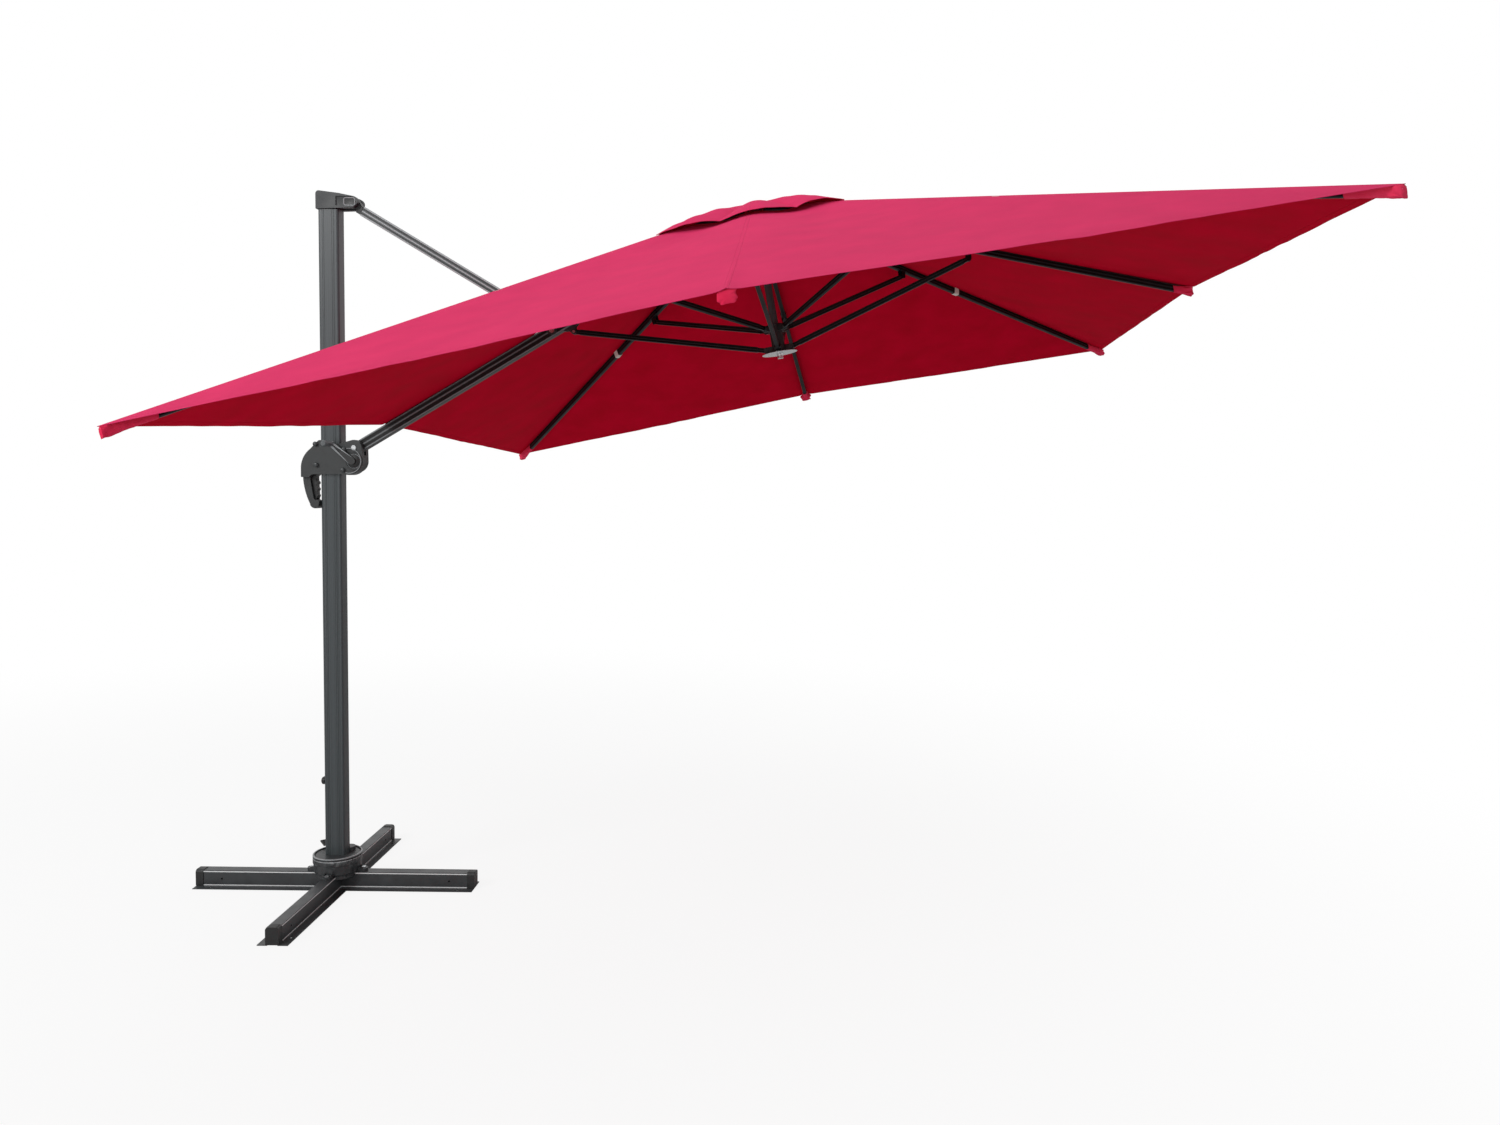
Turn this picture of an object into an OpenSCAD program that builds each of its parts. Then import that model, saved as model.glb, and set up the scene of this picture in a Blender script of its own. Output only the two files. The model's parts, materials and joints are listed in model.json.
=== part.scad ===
// Cantilever patio umbrella on a cross foot, in millimetres, +Z up.
// The origin lies on the floor, on the axis that the mast turns about, and the boom points along +X.
// The umbrella is drawn open. Two sets of links carry it:
// - the strut and the boom are equal-legged, so the carriage runs straight along the mast;
// - each rib and its stretcher are equal-legged, so the lower hub runs straight along the canopy's axis.

/* [Foot] */
// Length of each leg of the cross
leg_len = 1050; // [800:10:1300]
// Height of the leg's box section
leg_h = 63; // [50:1:80]
// Width of the leg's box section
leg_w = 40; // [34:1:50]
// Width of the leg over its flanges
flange_w = 103; // [90:1:120]
// Thickness of the leg's sheet steel
leg_t = 3; // [2:0.5:4]
// Turn of the cross against the boom, in degrees
foot_turn = 4.35; // [-40:0.05:40]
// Distance of the flange holes from the leg's end
flange_hole_inset = 60; // [45:1:90]
// Radius of the flange holes
flange_hole_r = 4.5; // [3:0.5:6]
// Distance of the side holes from the leg's end
side_hole_inset = 95; // [70:1:140]
// Height of the side holes above the floor
side_hole_z = 30; // [20:1:36]
// Radius of the side holes
side_hole_r = 3.5; // [2:0.5:5]
// Length of the plastic caps on the leg ends
cap_len = 26; // [18:1:34]
// Wall of the plastic caps
cap_t = 2.5; // [1.5:0.5:4]

/* [Turning ring] */
// Outer radius of the ring
ring_r = 88; // [84:1:96]
// Height of the ring's rim above the floor
ring_top = 135; // [125:1:150]
// Wall of the ring
ring_wall = 6; // [4:0.5:8]
// Depth of the skirt that reaches down between the legs
skirt_depth = 13; // [6:1:24]
// Width of the lugs that are bolted to the legs
lug_w = 30; // [26:1:36]
// Thickness of the lugs
lug_t = 12; // [8:1:16]
// Distance of the lug bolts from the turning axis
lug_bolt_r = 99; // [96:1:108]
// Radius of the lug bolts
lug_bolt = 4; // [3:0.5:5]
// Thickness of the turntable's plate
table_t = 16; // [12:1:20]
// Radius of the turntable's spindle
spindle_r = 24; // [20:1:30]
// Radius of the centre bolt
centre_bolt_r = 8; // [6:0.5:10]
// Thickness of the thrust washer
washer_t = 2.5; // [1.5:0.5:4]

/* [Foot pedal] */
// Direction of the pedal, in degrees from +X
pedal_dir = 138; // [125:1:150]
// Length of the pedal past its pivot
pedal_len = 58; // [46:1:66]
// Width of the pedal's plate
pedal_w = 42; // [34:1:50]
// Distance of the pedal's pivot from the turning axis
pedal_pivot_r = 64; // [60:1:68]

/* [Mast] */
// Width of the mast along the boom
mast_w = 76; // [66:1:80]
// Depth of the mast across the boom
mast_d = 50; // [44:1:54]
// Wall of the mast
mast_t = 2.5; // [2:0.5:4]
// Corner radius of the mast
mast_corner = 8; // [5:1:12]
// Height of the mast's top end above the floor
mast_top = 2557; // [2450:1:2650]
// Height of the clamping knob
knob_z = 415; // [320:5:440]
// Height of the spigot inside the mast
spigot_len = 330; // [320:5:400]
// Wall of the spigot
spigot_t = 4; // [3:0.5:5]
// Distance between the mast's locking slots
slot_pitch = 110; // [80:1:140]

/* [Linkage] */
// Distance of the boom's and the strut's pivots from the mast's axis
pivot_x = 95; // [92:1:98]
// Distance of the boom's pivot below the mast's top end
pivot_drop = 867; // [857:1:877]
// Height of the strut's pivot above the mast's top end
strut_pivot_rise = 29; // [23:1:33]
// Slope of the boom and the strut as drawn, in degrees
arm_slope = 31.36; // [30.5:0.02:32]
// Radius of the two pivot pins and of the pin between strut and boom
arm_pin_r = 6; // [5:0.5:7]

/* [Boom and strut] */
// Depth of the boom
boom_d = 42; // [38:1:46]
// Width of the boom
boom_w = 32; // [28:1:34]
// Corner radius of the boom and the strut
arm_corner = 4; // [3:0.5:5]
// Wall of the boom and the strut
arm_t = 2; // [1.5:0.25:3]
// Distance of the hub's pin from the boom's pivot, along the boom
boom_reach = 1638.7; // [1630:0.1:1650]
// Distance of the hub's pin below the boom's centre line
boom_drop = 93.2; // [88:0.1:98]
// Depth of the strut
strut_d = 35; // [30:1:38]
// Width of the strut
strut_w = 24; // [20:1:26]
// Rise of the strut's centre line over its two pins
strut_offset = 14; // [8:1:16]
// Length of the fork that joins the strut to the boom
fork_len = 132; // [130:1:145]
// Thickness of the fork's cheeks
fork_t = 5; // [4:0.5:6]

/* [Carriage] */
// Half width of the carriage across the mast
carriage_half = 36; // [35:0.5:40]
// Half width of its handle
handle_half = 22; // [20:0.5:26]
// Wall of the two shells
shell_t = 4; // [3:0.5:5]
// Thickness of the slide liner
liner_t = 2.5; // [1.5:0.5:3.5]
// Clearance of the liner on the mast
slide_gap = 0.5; // [0.3:0.1:1]
// Radius of the shells round the winch, on the crank's side
boss_r = 52; // [50:1:56]
// Radius of the shells round the boom's pivot
eye_r = 29; // [26:1:32]
// Radius of the carriage bolts
shell_bolt_r = 3; // [2:0.5:4]

/* [Crank] */
// Distance of the crank's axle below the boom's pivot
axle_drop = 50; // [48:1:54]
// Radius of the crank's axle
axle_r = 6; // [5:0.5:8]
// Length of the crank arm
crank_len = 100; // [90:1:104]
// Angle of the crank arm as drawn, in degrees
crank_angle = 141.5; // [130:0.5:150]
// Thickness of the crank arm
crank_t = 10; // [8:1:13]
// Radius of the winch drum
drum_r = 22; // [18:1:23]
// Length of the crank's grip
grip_len = 50; // [40:1:56]
// Radius of the crank's grip
grip_r = 12; // [10:0.5:14]

/* [Canopy] */
// Half width of the canopy
canopy_half = 1500; // [1450:10:1550]
// Tilt of the canopy, in degrees
canopy_tilt = 11.48; // [11:0.02:12]
// Height of the fabric's apex over the canopy's corners
apex_z = 623; // [618:1:640]
// Height of the fabric at the middle of a free edge
mid_tip_z = 42; // [34:1:50]
// Thickness of the fabric
fabric_t = 1.2; // [0.8:0.1:2]
// Half width of the vent opening
vent_half = 225; // [180:5:260]
// Half width of the vent cover
cover_half = 320; // [290:5:360]
// Rise of the vent cover over the fabric in the middle of its edge
cover_rise = 20; // [14:1:30]
// Half width of the slit that the strut passes through
slit_half = 27; // [26:1:32]

/* [Ribs and stretchers] */
// Depth of a rib
rib_d = 25; // [20:1:27]
// Width of a rib
rib_w = 16; // [14:1:18]
// Wall of the ribs and the stretchers
rib_t = 1.5; // [1:0.25:2.5]
// Distance of a rib's end from the fabric's edge
rib_inset = 15; // [10:1:30]
// Depth of a stretcher
stretcher_d = 20; // [16:1:22]
// Distance of the bracket pins from the canopy's axis
bracket_r = 732; // [700:1:760]
// Height of the bracket pins of the side ribs
mid_bracket_z = 287; // [284:1:290]
// Height of the bracket pins of the corner ribs
corner_bracket_z = 360; // [356:1:364]
// Slope of the stretchers as drawn, in degrees
link_slope = 15.8; // [15.4:0.05:16.2]
// Radius of the rib and stretcher pins
rib_pin_r = 3; // [2.5:0.25:3.5]
// Thickness of the bracket cheeks
cheek_t = 3; // [2:0.5:4]
// Thickness of the blades that run in the hubs' slots
blade_t = 8; // [6:0.5:9]
// Radius of the round ends of the blades
blade_r = 9; // [7.5:0.5:9.5]

/* [Hubs] */
// Distance of the hubs' pins from the canopy's axis
hub_pin_r = 45; // [43:1:48]
// Radius of the hubs' cores
hub_core_r = 24; // [20:1:26]
// Width of a hub's slotted lobes
lobe_w = 22; // [20:1:24]
// Outer radius of the centre tube
tube_r = 14; // [12:0.5:16]
// Radius of the disc under the lower hub
disc_r = 65; // [62:1:70]

/* [Fits] */
// Radial clearance of a pin in its bore
pin_gap = 0.05; // [0.02:0.01:0.09]
// Clearance on each side of a blade, a fork or an eye
side_gap = 0.4; // [0.3:0.05:0.7]
// Clearance where one piece passes another
free_gap = 0.6; // [0.4:0.1:1]
// Gap that fabric keeps from its neighbours
fabric_gap = 0.3; // [0.2:0.05:0.5]

/* [Hidden] */
$fn = 48;
over = 1;
lap = 0.1;

// Colours of the object
col_mast = [0.29, 0.32, 0.33];
col_black = [0.09, 0.09, 0.10];
col_steel = [0.80, 0.80, 0.80];
col_fabric = [0.80, 0.08, 0.22];

// Foot and ring
lap_z = leg_h / 2;
flange_hole_y = (leg_w + flange_w) / 4;
washer_r = 60;
table_z = ring_top - table_t - 4;
hub_top_z = table_z - washer_t;
table_r = ring_r - ring_wall - free_gap;
bolt_head_r = 2 * lug_bolt;
spigot_w = mast_w - 2 * mast_t - 2 * side_gap;
spigot_d = mast_d - 2 * mast_t - 2 * side_gap;
bolt_washer_r = spigot_d / 2 - spigot_t - free_gap;
mast_foot = table_z + table_t;
knob_screw_r = 4;
pedal_z = mast_foot + 11;
pedal_pin_r = 3;
pedal_t = 5;
pedal_ear_t = 4;

// Linkage of strut and boom: two equal legs from the pivots to the pin that joins them
pivot_z = mast_top - pivot_drop;
strut_pivot_z = mast_top + strut_pivot_rise;
arm_leg = (strut_pivot_z - pivot_z) / 2 / sin(arm_slope);
strut_skew = atan(2 * strut_offset / arm_leg);
eye_w = strut_w;
boom_eye_r = boom_d / 2 - 1;

// Root of the strut's upper eye, and the stretch of the strut that its tube covers: it starts
// past that root, and ends one wall short of the fork's root, so that the folded boom clears it
eye_root = 26;
eye_root_r = 12;
strut_start = eye_root + eye_root_r + free_gap;
strut_stop = arm_leg - fork_len - arm_t;
fork_in = boom_w / 2 + side_gap;
tooth_drop = 86;
tooth_h = 14;

// Canopy: the hub's boom pin is placed on the boom, and the canopy's frame on that pin
link_len = (bracket_r - hub_pin_r) / cos(link_slope);
link_rise = (bracket_r - hub_pin_r) * tan(link_slope);
mid_top_z = mid_bracket_z + link_rise;
mid_low_z = mid_bracket_z - link_rise;
corner_top_z = corner_bracket_z + link_rise;
corner_low_z = corner_bracket_z - link_rise;
hub_x = pivot_x + boom_reach * cos(arm_slope) + boom_drop * sin(arm_slope);
hub_z = pivot_z + boom_reach * sin(arm_slope) - boom_drop * cos(arm_slope);
canopy_x = hub_x + hub_pin_r * cos(canopy_tilt) + mid_top_z * sin(canopy_tilt);
canopy_z = hub_z + hub_pin_r * sin(canopy_tilt) - mid_top_z * cos(canopy_tilt);
boom_dip = arm_slope - canopy_tilt;
corner_half = canopy_half * sqrt(2);
cover_seat = fabric_t + fabric_gap;
cover_top = apex_z + cover_seat;
cover_hole = 16;
joint_r = hub_pin_r + (boom_reach - arm_leg) * cos(boom_dip);
slit_a = joint_r - 190;
slit_b = joint_r + 120;

// Height of the boom's centre line over a distance r from the canopy's axis, in the canopy's frame
function boom_line(r) = mid_top_z + boom_drop / cos(boom_dip) - (r - hub_pin_r) * tan(boom_dip);
boom_top_z = boom_line(canopy_half) + (boom_d / 2 + fabric_t + fabric_gap) / cos(boom_dip);
boom_tip_z = boom_top_z / (1 - (boom_w / 2 - 4) / canopy_half);

// A rib's direction: 0, 90, 180 and 270 are side ribs, the others corner ribs, and 180 is the boom
function is_corner(dir) = dir % 90 != 0;
function rib_end(dir) = (is_corner(dir) ? corner_half : canopy_half) - rib_inset;
function tip_z(dir) = is_corner(dir) ? 0 : dir == 180 ? boom_tip_z : mid_tip_z;
function fabric_line(dir, r) =
    apex_z + (tip_z(dir) - apex_z) * r / (is_corner(dir) ? corner_half : canopy_half);
function rib_slope(dir) =
    atan((apex_z - tip_z(dir)) / (is_corner(dir) ? corner_half : canopy_half));

// Fall of the fabric to the sides of a rib, and with it the rib's distance below the fabric
function fall(dir) =
    is_corner(dir) ? (apex_z - 2 * mid_tip_z) / corner_half : tip_z(dir) / canopy_half;
function rib_drop(dir) = fabric_t + (rib_d / 2 + fabric_gap) / cos(rib_slope(dir))
    + fall(dir) * (rib_w / 2 - 2.5);
function rib_line(dir, r) = fabric_line(dir, r) - rib_drop(dir);
function top_pin_z(dir) = is_corner(dir) ? corner_top_z : mid_top_z;
function low_pin_z(dir) = is_corner(dir) ? corner_low_z : mid_low_z;
function bracket_z(dir) = is_corner(dir) ? corner_bracket_z : mid_bracket_z;

// ---------------------------------------------------------------- shared shapes

// Points on an arc, from angle a to angle b
function arc(c, r, a, b, n = 12) =
    [for (i = [0 : n]) let (t = a + (b - a) * i / n) [c[0] + r * cos(t), c[1] + r * sin(t)]];

// Rectangle w by h, centred, with true round corners
module round_rect(w, h, r) {
    square([w - 2 * r, h], center = true);
    square([w, h - 2 * r], center = true);
    for (x = [-1, 1], y = [-1, 1])
        translate([x * (w / 2 - r), y * (h / 2 - r)]) circle(r = r);
}

// Hollow section, w across and h deep, with grooves along its two side faces
module section(w, h, r, t, grooves, groove_w = 2.4, groove_t = 0.8) {
    difference() {
        round_rect(w, h, r);
        round_rect(w - 2 * t, h - 2 * t, max(r - t, 0.4));
        for (z = grooves, side = [-1, 1])
            translate([side * w / 2, z]) square([2 * groove_t, groove_w], center = true);
    }
}

// A section drawn across X, Y is pulled along +X, from a to b
module along_x(a, b) {
    translate([a, 0, 0]) rotate([90, 0, 90]) linear_extrude(b - a) children();
}

// A flat outline drawn in X, Z becomes a plate from y = a to y = b
module plate(a, b) {
    translate([0, b, 0]) rotate([90, 0, 0]) linear_extrude(b - a) children();
}

// The same plate on both sides, from near to far off the middle
module both_sides(near, far) {
    plate(near, far) children();
    plate(-far, -near) children();
}

// A round pin or bore along Y
module pin_y(p, r, a, b) {
    translate([p[0], a, p[1]]) rotate([-90, 0, 0]) cylinder(r = r, h = b - a);
}

// A pin along Y with a flat head at each end, whose heads start half off the middle
module headed_pin(p, r, half, head_r, head_t) {
    pin_y(p, r, -half - over, half + over);
    both_sides(half, half + head_t) translate(p) circle(r = head_r);
}

// Flat outline of a link: two round ends joined by straight sides, a hair inside the tangents
module link_outline(p, q, rp, rq) {
    d = norm(q - p);
    k = asin((rp - rq) / d);
    a = rp - 0.03;
    b = rq - 0.03;
    translate(p) circle(r = rp);
    translate(q) circle(r = rq);
    translate(p) rotate(atan2(q[1] - p[1], q[0] - p[0])) polygon([
        [a * sin(k), a * cos(k)], [a * sin(k), -a * cos(k)],
        [d + b * sin(k), -b * cos(k)], [d + b * sin(k), b * cos(k)]
    ]);
}

// Frames of the moving groups
module at_boom() { translate([pivot_x, 0, pivot_z]) rotate([0, -arm_slope, 0]) children(); }
module at_strut() {
    translate([pivot_x, 0, strut_pivot_z]) rotate([0, arm_slope, 0]) children();
}
module at_carriage() { translate([0, 0, pivot_z]) children(); }
module at_canopy() {
    translate([canopy_x, 0, canopy_z]) rotate([0, -canopy_tilt, 0]) children();
}
module at_rib(dir) { at_canopy() rotate([0, 0, dir]) children(); }

// ---------------------------------------------------------------- foot

// Hat section of a leg, from the floor up
module leg_section() {
    difference() {
        union() {
            translate([-leg_w / 2, 0]) square([leg_w, leg_h]);
            translate([-flange_w / 2, 0]) square([flange_w, leg_t]);
        }
        translate([leg_t - leg_w / 2, -over]) square([leg_w - 2 * leg_t, leg_h - leg_t + over]);
    }
}

module leg_bar() {
    difference() {
        along_x(-leg_len / 2, leg_len / 2) leg_section();
        for (s = [-1, 1]) {
            pin_y([s * (leg_len / 2 - side_hole_inset), side_hole_z], side_hole_r, -leg_w, leg_w);
            translate([s * lug_bolt_r, 0, leg_h - leg_t - over])
                cylinder(r = lug_bolt + side_gap, h = leg_t + 2 * over);
            for (y = [-1, 1])
                translate([s * (leg_len / 2 - flange_hole_inset), y * flange_hole_y, -over])
                    cylinder(r = flange_hole_r, h = leg_t + 2 * over);
        }
    }
}

// Box across the crossing, as long as the legs are wide
module lap_cut(w, z, h) {
    translate([-w / 2 - side_gap, -flange_w, z]) cube([w + 2 * side_gap, 2 * flange_w, h]);
}

module leg_x() {
    color(col_black) rotate([0, 0, foot_turn]) difference() {
        leg_bar();
        lap_cut(leg_w, -over, lap_z + over);
        lap_cut(flange_w, -over, leg_t + side_gap + over);
        translate([0, 0, lap_z]) cylinder(r = centre_bolt_r + side_gap, h = leg_h);
    }
}

module leg_y() {
    color(col_black) rotate([0, 0, foot_turn + 90]) difference() {
        leg_bar();
        lap_cut(leg_w, lap_z, leg_h);
    }
}

// A cap slips over the box section: a shell with an end wall and round shoulders
module leg_end_cap() {
    w = leg_w + 2 * cap_t;
    h = leg_h + cap_t;
    difference() {
        along_x(leg_len / 2 - cap_len, leg_len / 2 + cap_t) intersection() {
            translate([-w / 2, leg_t]) square([w, h - leg_t]);
            translate([0, h / 2 - w]) round_rect(w, h + 2 * w, w / 4);
        }
        along_x(leg_len / 2 - cap_len - over, leg_len / 2) {
            translate([-leg_w / 2, 0]) square([leg_w, leg_h]);
        }
    }
}

module leg_end_caps() {
    color([0.05, 0.05, 0.05]) for (a = [0 : 90 : 270])
        rotate([0, 0, foot_turn + a]) leg_end_cap();
}

// Ring: a turned shell on four bolted lugs, with a skirt between the legs and a bored hub
module turning_ring() {
    color(col_black) rotate([0, 0, foot_turn]) difference() {
        union() {
            rotate_extrude($fn = 96) difference() {
                polygon([
                    [0, leg_h], [ring_r - 10, leg_h], [ring_r - 4, leg_h + 8],
                    [ring_r - 2, leg_h + 40], [ring_r, leg_h + 42], [ring_r, ring_top - 9],
                    [ring_r - 1.5, ring_top - 8], [ring_r - 1.5, ring_top - 6],
                    [ring_r, ring_top - 5], [ring_r, ring_top - 2], [ring_r - 2, ring_top],
                    [0, ring_top]
                ]);
                translate([0, hub_top_z]) square([ring_r - ring_wall, ring_top]);
                translate([spindle_r + 10, leg_h - over])
                    square([ring_r - ring_wall - spindle_r - 14, hub_top_z - leg_h - 6 + over]);
            }
            for (a = [0 : 90 : 270]) rotate([0, 0, a]) ring_lug();
            for (a = [45 : 90 : 315]) rotate([0, 0, a])
                translate([spindle_r + 9, -3, leg_h])
                    cube([ring_r - ring_wall - spindle_r - 13, 6, hub_top_z - leg_h - 3]);
            difference() {
                translate([0, 0, leg_h - skirt_depth]) difference() {
                    cylinder(r = ring_r - 12, h = skirt_depth + over);
                    translate([0, 0, -over]) cylinder(r = ring_r - 17, h = skirt_depth + 3 * over);
                }
                for (a = [0, 90]) rotate([0, 0, a])
                    translate([-ring_r, -leg_w / 2 - side_gap, 0])
                        cube([2 * ring_r, leg_w + 2 * side_gap, leg_h]);
            }
        }
        translate([0, 0, leg_h - over]) cylinder(r = spindle_r + pin_gap, h = ring_top);
        for (a = [0 : 90 : 270]) rotate([0, 0, a]) translate([lug_bolt_r, 0, leg_h - over])
            cylinder(r = lug_bolt + side_gap, h = ring_top);
    }
}

// One lug, with a raised lip along its sides
module ring_lug() {
    translate([ring_r - 14, -lug_w / 2, leg_h]) cube([lug_bolt_r - ring_r + 14, lug_w, lug_t]);
    translate([lug_bolt_r, 0, leg_h]) cylinder(r = lug_w / 2, h = lug_t);
    for (s = [-1, 1]) translate([ring_r - 8, s * (lug_w / 2 - 1.5) - 1.5, leg_h + lug_t])
        cube([lug_bolt_r - ring_r + 8, 3, 5]);
}

// Four hexagon bolts through the lugs and the legs' tops, each with its nut
module ring_bolts() {
    color(col_steel) for (a = [0 : 90 : 270]) rotate([0, 0, foot_turn + a])
        translate([lug_bolt_r, 0, 0]) {
            translate([0, 0, leg_h + lug_t]) cylinder(r = bolt_head_r, h = lug_bolt, $fn = 6);
            translate([0, 0, leg_h - leg_t - 2 * lug_bolt])
                cylinder(r = lug_bolt, h = lug_t + leg_t + 2 * lug_bolt + over);
            translate([0, 0, leg_h - leg_t - 1.6 * lug_bolt])
                cylinder(r = bolt_head_r, h = 1.6 * lug_bolt, $fn = 6);
        }
}

module thrust_washer() {
    color([0.85, 0.85, 0.82]) translate([0, 0, hub_top_z]) difference() {
        cylinder(r = washer_r, h = washer_t);
        translate([0, 0, -over]) cylinder(r = spindle_r + side_gap, h = washer_t + 2 * over);
    }
}

// The bolt that holds the turntable down: head and washer above, nut under the leg
module centre_bolt() {
    color(col_steel) {
        translate([0, 0, mast_foot + fabric_gap]) {
            cylinder(r = bolt_washer_r, h = 2);
            cylinder(r = 1.8 * centre_bolt_r, h = 2 + centre_bolt_r, $fn = 6);
        }
        translate([0, 0, leg_h - leg_t - 14]) {
            cylinder(r = centre_bolt_r, h = mast_foot - leg_h + leg_t + 15);
            cylinder(r = 1.7 * centre_bolt_r, h = 14, $fn = 6);
        }
    }
}

// ---------------------------------------------------------------- mast

// Turntable: a plate with a spindle below, and the boss of its brake behind the mast
module turntable() {
    color(col_black) difference() {
        union() {
            translate([0, 0, table_z]) {
                cylinder(r = table_r, h = table_t - 2, $fn = 96);
                cylinder(r = table_r - 3, h = table_t, $fn = 96);
            }
            translate([0, 0, leg_h + free_gap]) cylinder(r = spindle_r, h = table_z - leg_h);
            translate([0, 0, mast_foot - over]) intersection() {
                translate([26, 36, 0]) cylinder(r = 24, h = 17);
                cylinder(r = table_r - 4, h = 17);
            }
        }
        translate([0, 0, leg_h]) cylinder(r = centre_bolt_r + pin_gap, h = ring_top);
        translate([0, 0, mast_foot]) linear_extrude(2 * ring_top)
            round_rect(mast_w + 2 * side_gap, mast_d + 2 * side_gap, mast_corner);
    }
}

module mast_spigot() {
    color(col_steel) difference() {
        translate([0, 0, mast_foot]) linear_extrude(spigot_len)
            section(spigot_w, spigot_d, mast_corner - mast_t, spigot_t, []);
        translate([-mast_w, 0, knob_z]) rotate([0, 90, 0])
            cylinder(r = knob_screw_r + pin_gap, h = mast_w);
    }
}

// Section of the mast, with two pairs of grooves on its front and its back
module mast_section() {
    rotate(90) section(mast_d, mast_w, mast_corner, mast_t, [-21, -15, 15, 21]);
}

module mast_tube() {
    tooth_z = pivot_z - tooth_drop;
    color(col_mast) difference() {
        translate([0, 0, mast_foot]) linear_extrude(mast_top - mast_foot) mast_section();
        translate([-mast_w, 0, knob_z]) rotate([0, 90, 0])
            cylinder(r = knob_screw_r + pin_gap, h = mast_w);
        for (i = [-8 : 3]) translate([-mast_w, -8, tooth_z + i * slot_pitch - tooth_h / 2 - 2])
            cube([mast_w, 16, tooth_h + 4]);
    }
}

// Side outline of the cap: a flat head that slopes down to the fork's round nose
module cap_outline() {
    nose = 18;
    polygon(concat(
        [[-mast_w / 2 - 5, mast_top], [pivot_x, mast_top + 6]],
        arc([pivot_x, strut_pivot_z], nose, -60, 75),
        [[mast_w / 2 + 4, strut_pivot_z + 28]],
        arc([-mast_w / 2 + 7, strut_pivot_z + 24], 12, 80, 180)
    ));
}

module mast_cap() {
    half = mast_d / 2 + 5;
    color(col_mast) difference() {
        union() {
            plate(-half, half) cap_outline();
            translate([0, 0, mast_top - 40]) linear_extrude(41)
                section(spigot_w, spigot_d, mast_corner - mast_t, 5, []);
        }
        translate([mast_w / 2 + 2, -eye_w / 2 - side_gap, mast_top - over])
            cube([mast_w, eye_w + 2 * side_gap, 100]);
        both_sides(half - 4, half + over) {
            translate([mast_w / 2 - 6, mast_top + 12])
                square([pivot_x - mast_w / 2 + 6, 34]);
            translate([pivot_x, strut_pivot_z]) circle(r = 12);
        }
        pin_y([pivot_x, strut_pivot_z], arm_pin_r + pin_gap, -2 * half, 2 * half);
    }
}

// The strut's pivot pin, with a head at each end
module cap_pin() {
    half = mast_d / 2 + 1;
    color(col_steel) headed_pin([pivot_x, strut_pivot_z], arm_pin_r, half, 10, 3);
}

// Star knob with its screw, which clamps the mast on the spigot
module mast_knob() {
    face = mast_w / 2 + side_gap;
    color(col_black) translate([-face, 0, knob_z]) rotate([0, -90, 0]) {
        difference() {
            union() {
                cylinder(r = 9, h = 6);
                translate([0, 0, 5]) cylinder(r = 15, h = 10);
                translate([0, 0, 14]) cylinder(r1 = 15, r2 = 11, h = 4);
            }
            for (a = [0 : 60 : 300]) rotate([0, 0, a]) translate([18, 0, 4])
                cylinder(r = 6, h = 20, $fn = 24);
        }
        translate([0, 0, -14]) cylinder(r = knob_screw_r, h = 16);
    }
}

module at_pedal() { rotate([0, 0, pedal_dir]) translate([pedal_pivot_r, 0, pedal_z]) children(); }

// Two ears on the turntable, with the pedal's pin between them
module pedal_bracket() {
    inner = 12;
    color(col_black) at_pedal() {
        difference() {
            both_sides(inner, inner + pedal_ear_t) {
                circle(r = 7);
                translate([-7, mast_foot - pedal_z]) square([14, pedal_z - mast_foot]);
            }
            pin_y([0, 0], pedal_pin_r + pin_gap, -2 * inner, 2 * inner);
        }
        pin_y([0, 0], pedal_pin_r, -inner - pedal_ear_t - 2, inner + pedal_ear_t + 2);
    }
}

// Pedal: a barrel on its pin, an arm out over the rim and a ribbed tread that is turned up
module foot_pedal() {
    inner = 12 - side_gap;
    color([0.06, 0.06, 0.06]) at_pedal() difference() {
        union() {
            pin_y([0, 0], 6, -inner, inner);
            translate([0, -inner, -pedal_t / 2]) cube([20, 2 * inner, pedal_t]);
            translate([19, 0, 0]) rotate([0, -14, 0]) {
                along_x(0, pedal_len - 20) square([pedal_w, pedal_t], center = true);
                for (x = [6 : 8 : pedal_len - 26]) along_x(x, x + 3)
                    translate([0, pedal_t / 2 + 0.5]) square([pedal_w - 6, 2], center = true);
            }
        }
        pin_y([0, 0], pedal_pin_r + pin_gap, -pedal_w, pedal_w);
    }
}

// ---------------------------------------------------------------- strut and boom

module arm_section(w, d) { section(w, d, arm_corner, arm_t, [-d / 4, 0, d / 4], 3, 1); }

// Plug that fills such a section, less the clearance
module arm_plug(w, d) {
    wall = 2 * arm_t + 2 * pin_gap;
    round_rect(w - wall, d - wall, arm_corner - arm_t + pin_gap);
}

// The strut's tube, skewed so that its line runs below its upper pin and above its lower one
module at_strut_tube() {
    at_strut() translate([0, 0, -strut_offset]) rotate([0, -strut_skew, 0]) children();
}

module strut_tube() {
    color(col_mast) at_strut_tube() along_x(strut_start, strut_stop)
        arm_section(strut_w, strut_d);
}

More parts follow.
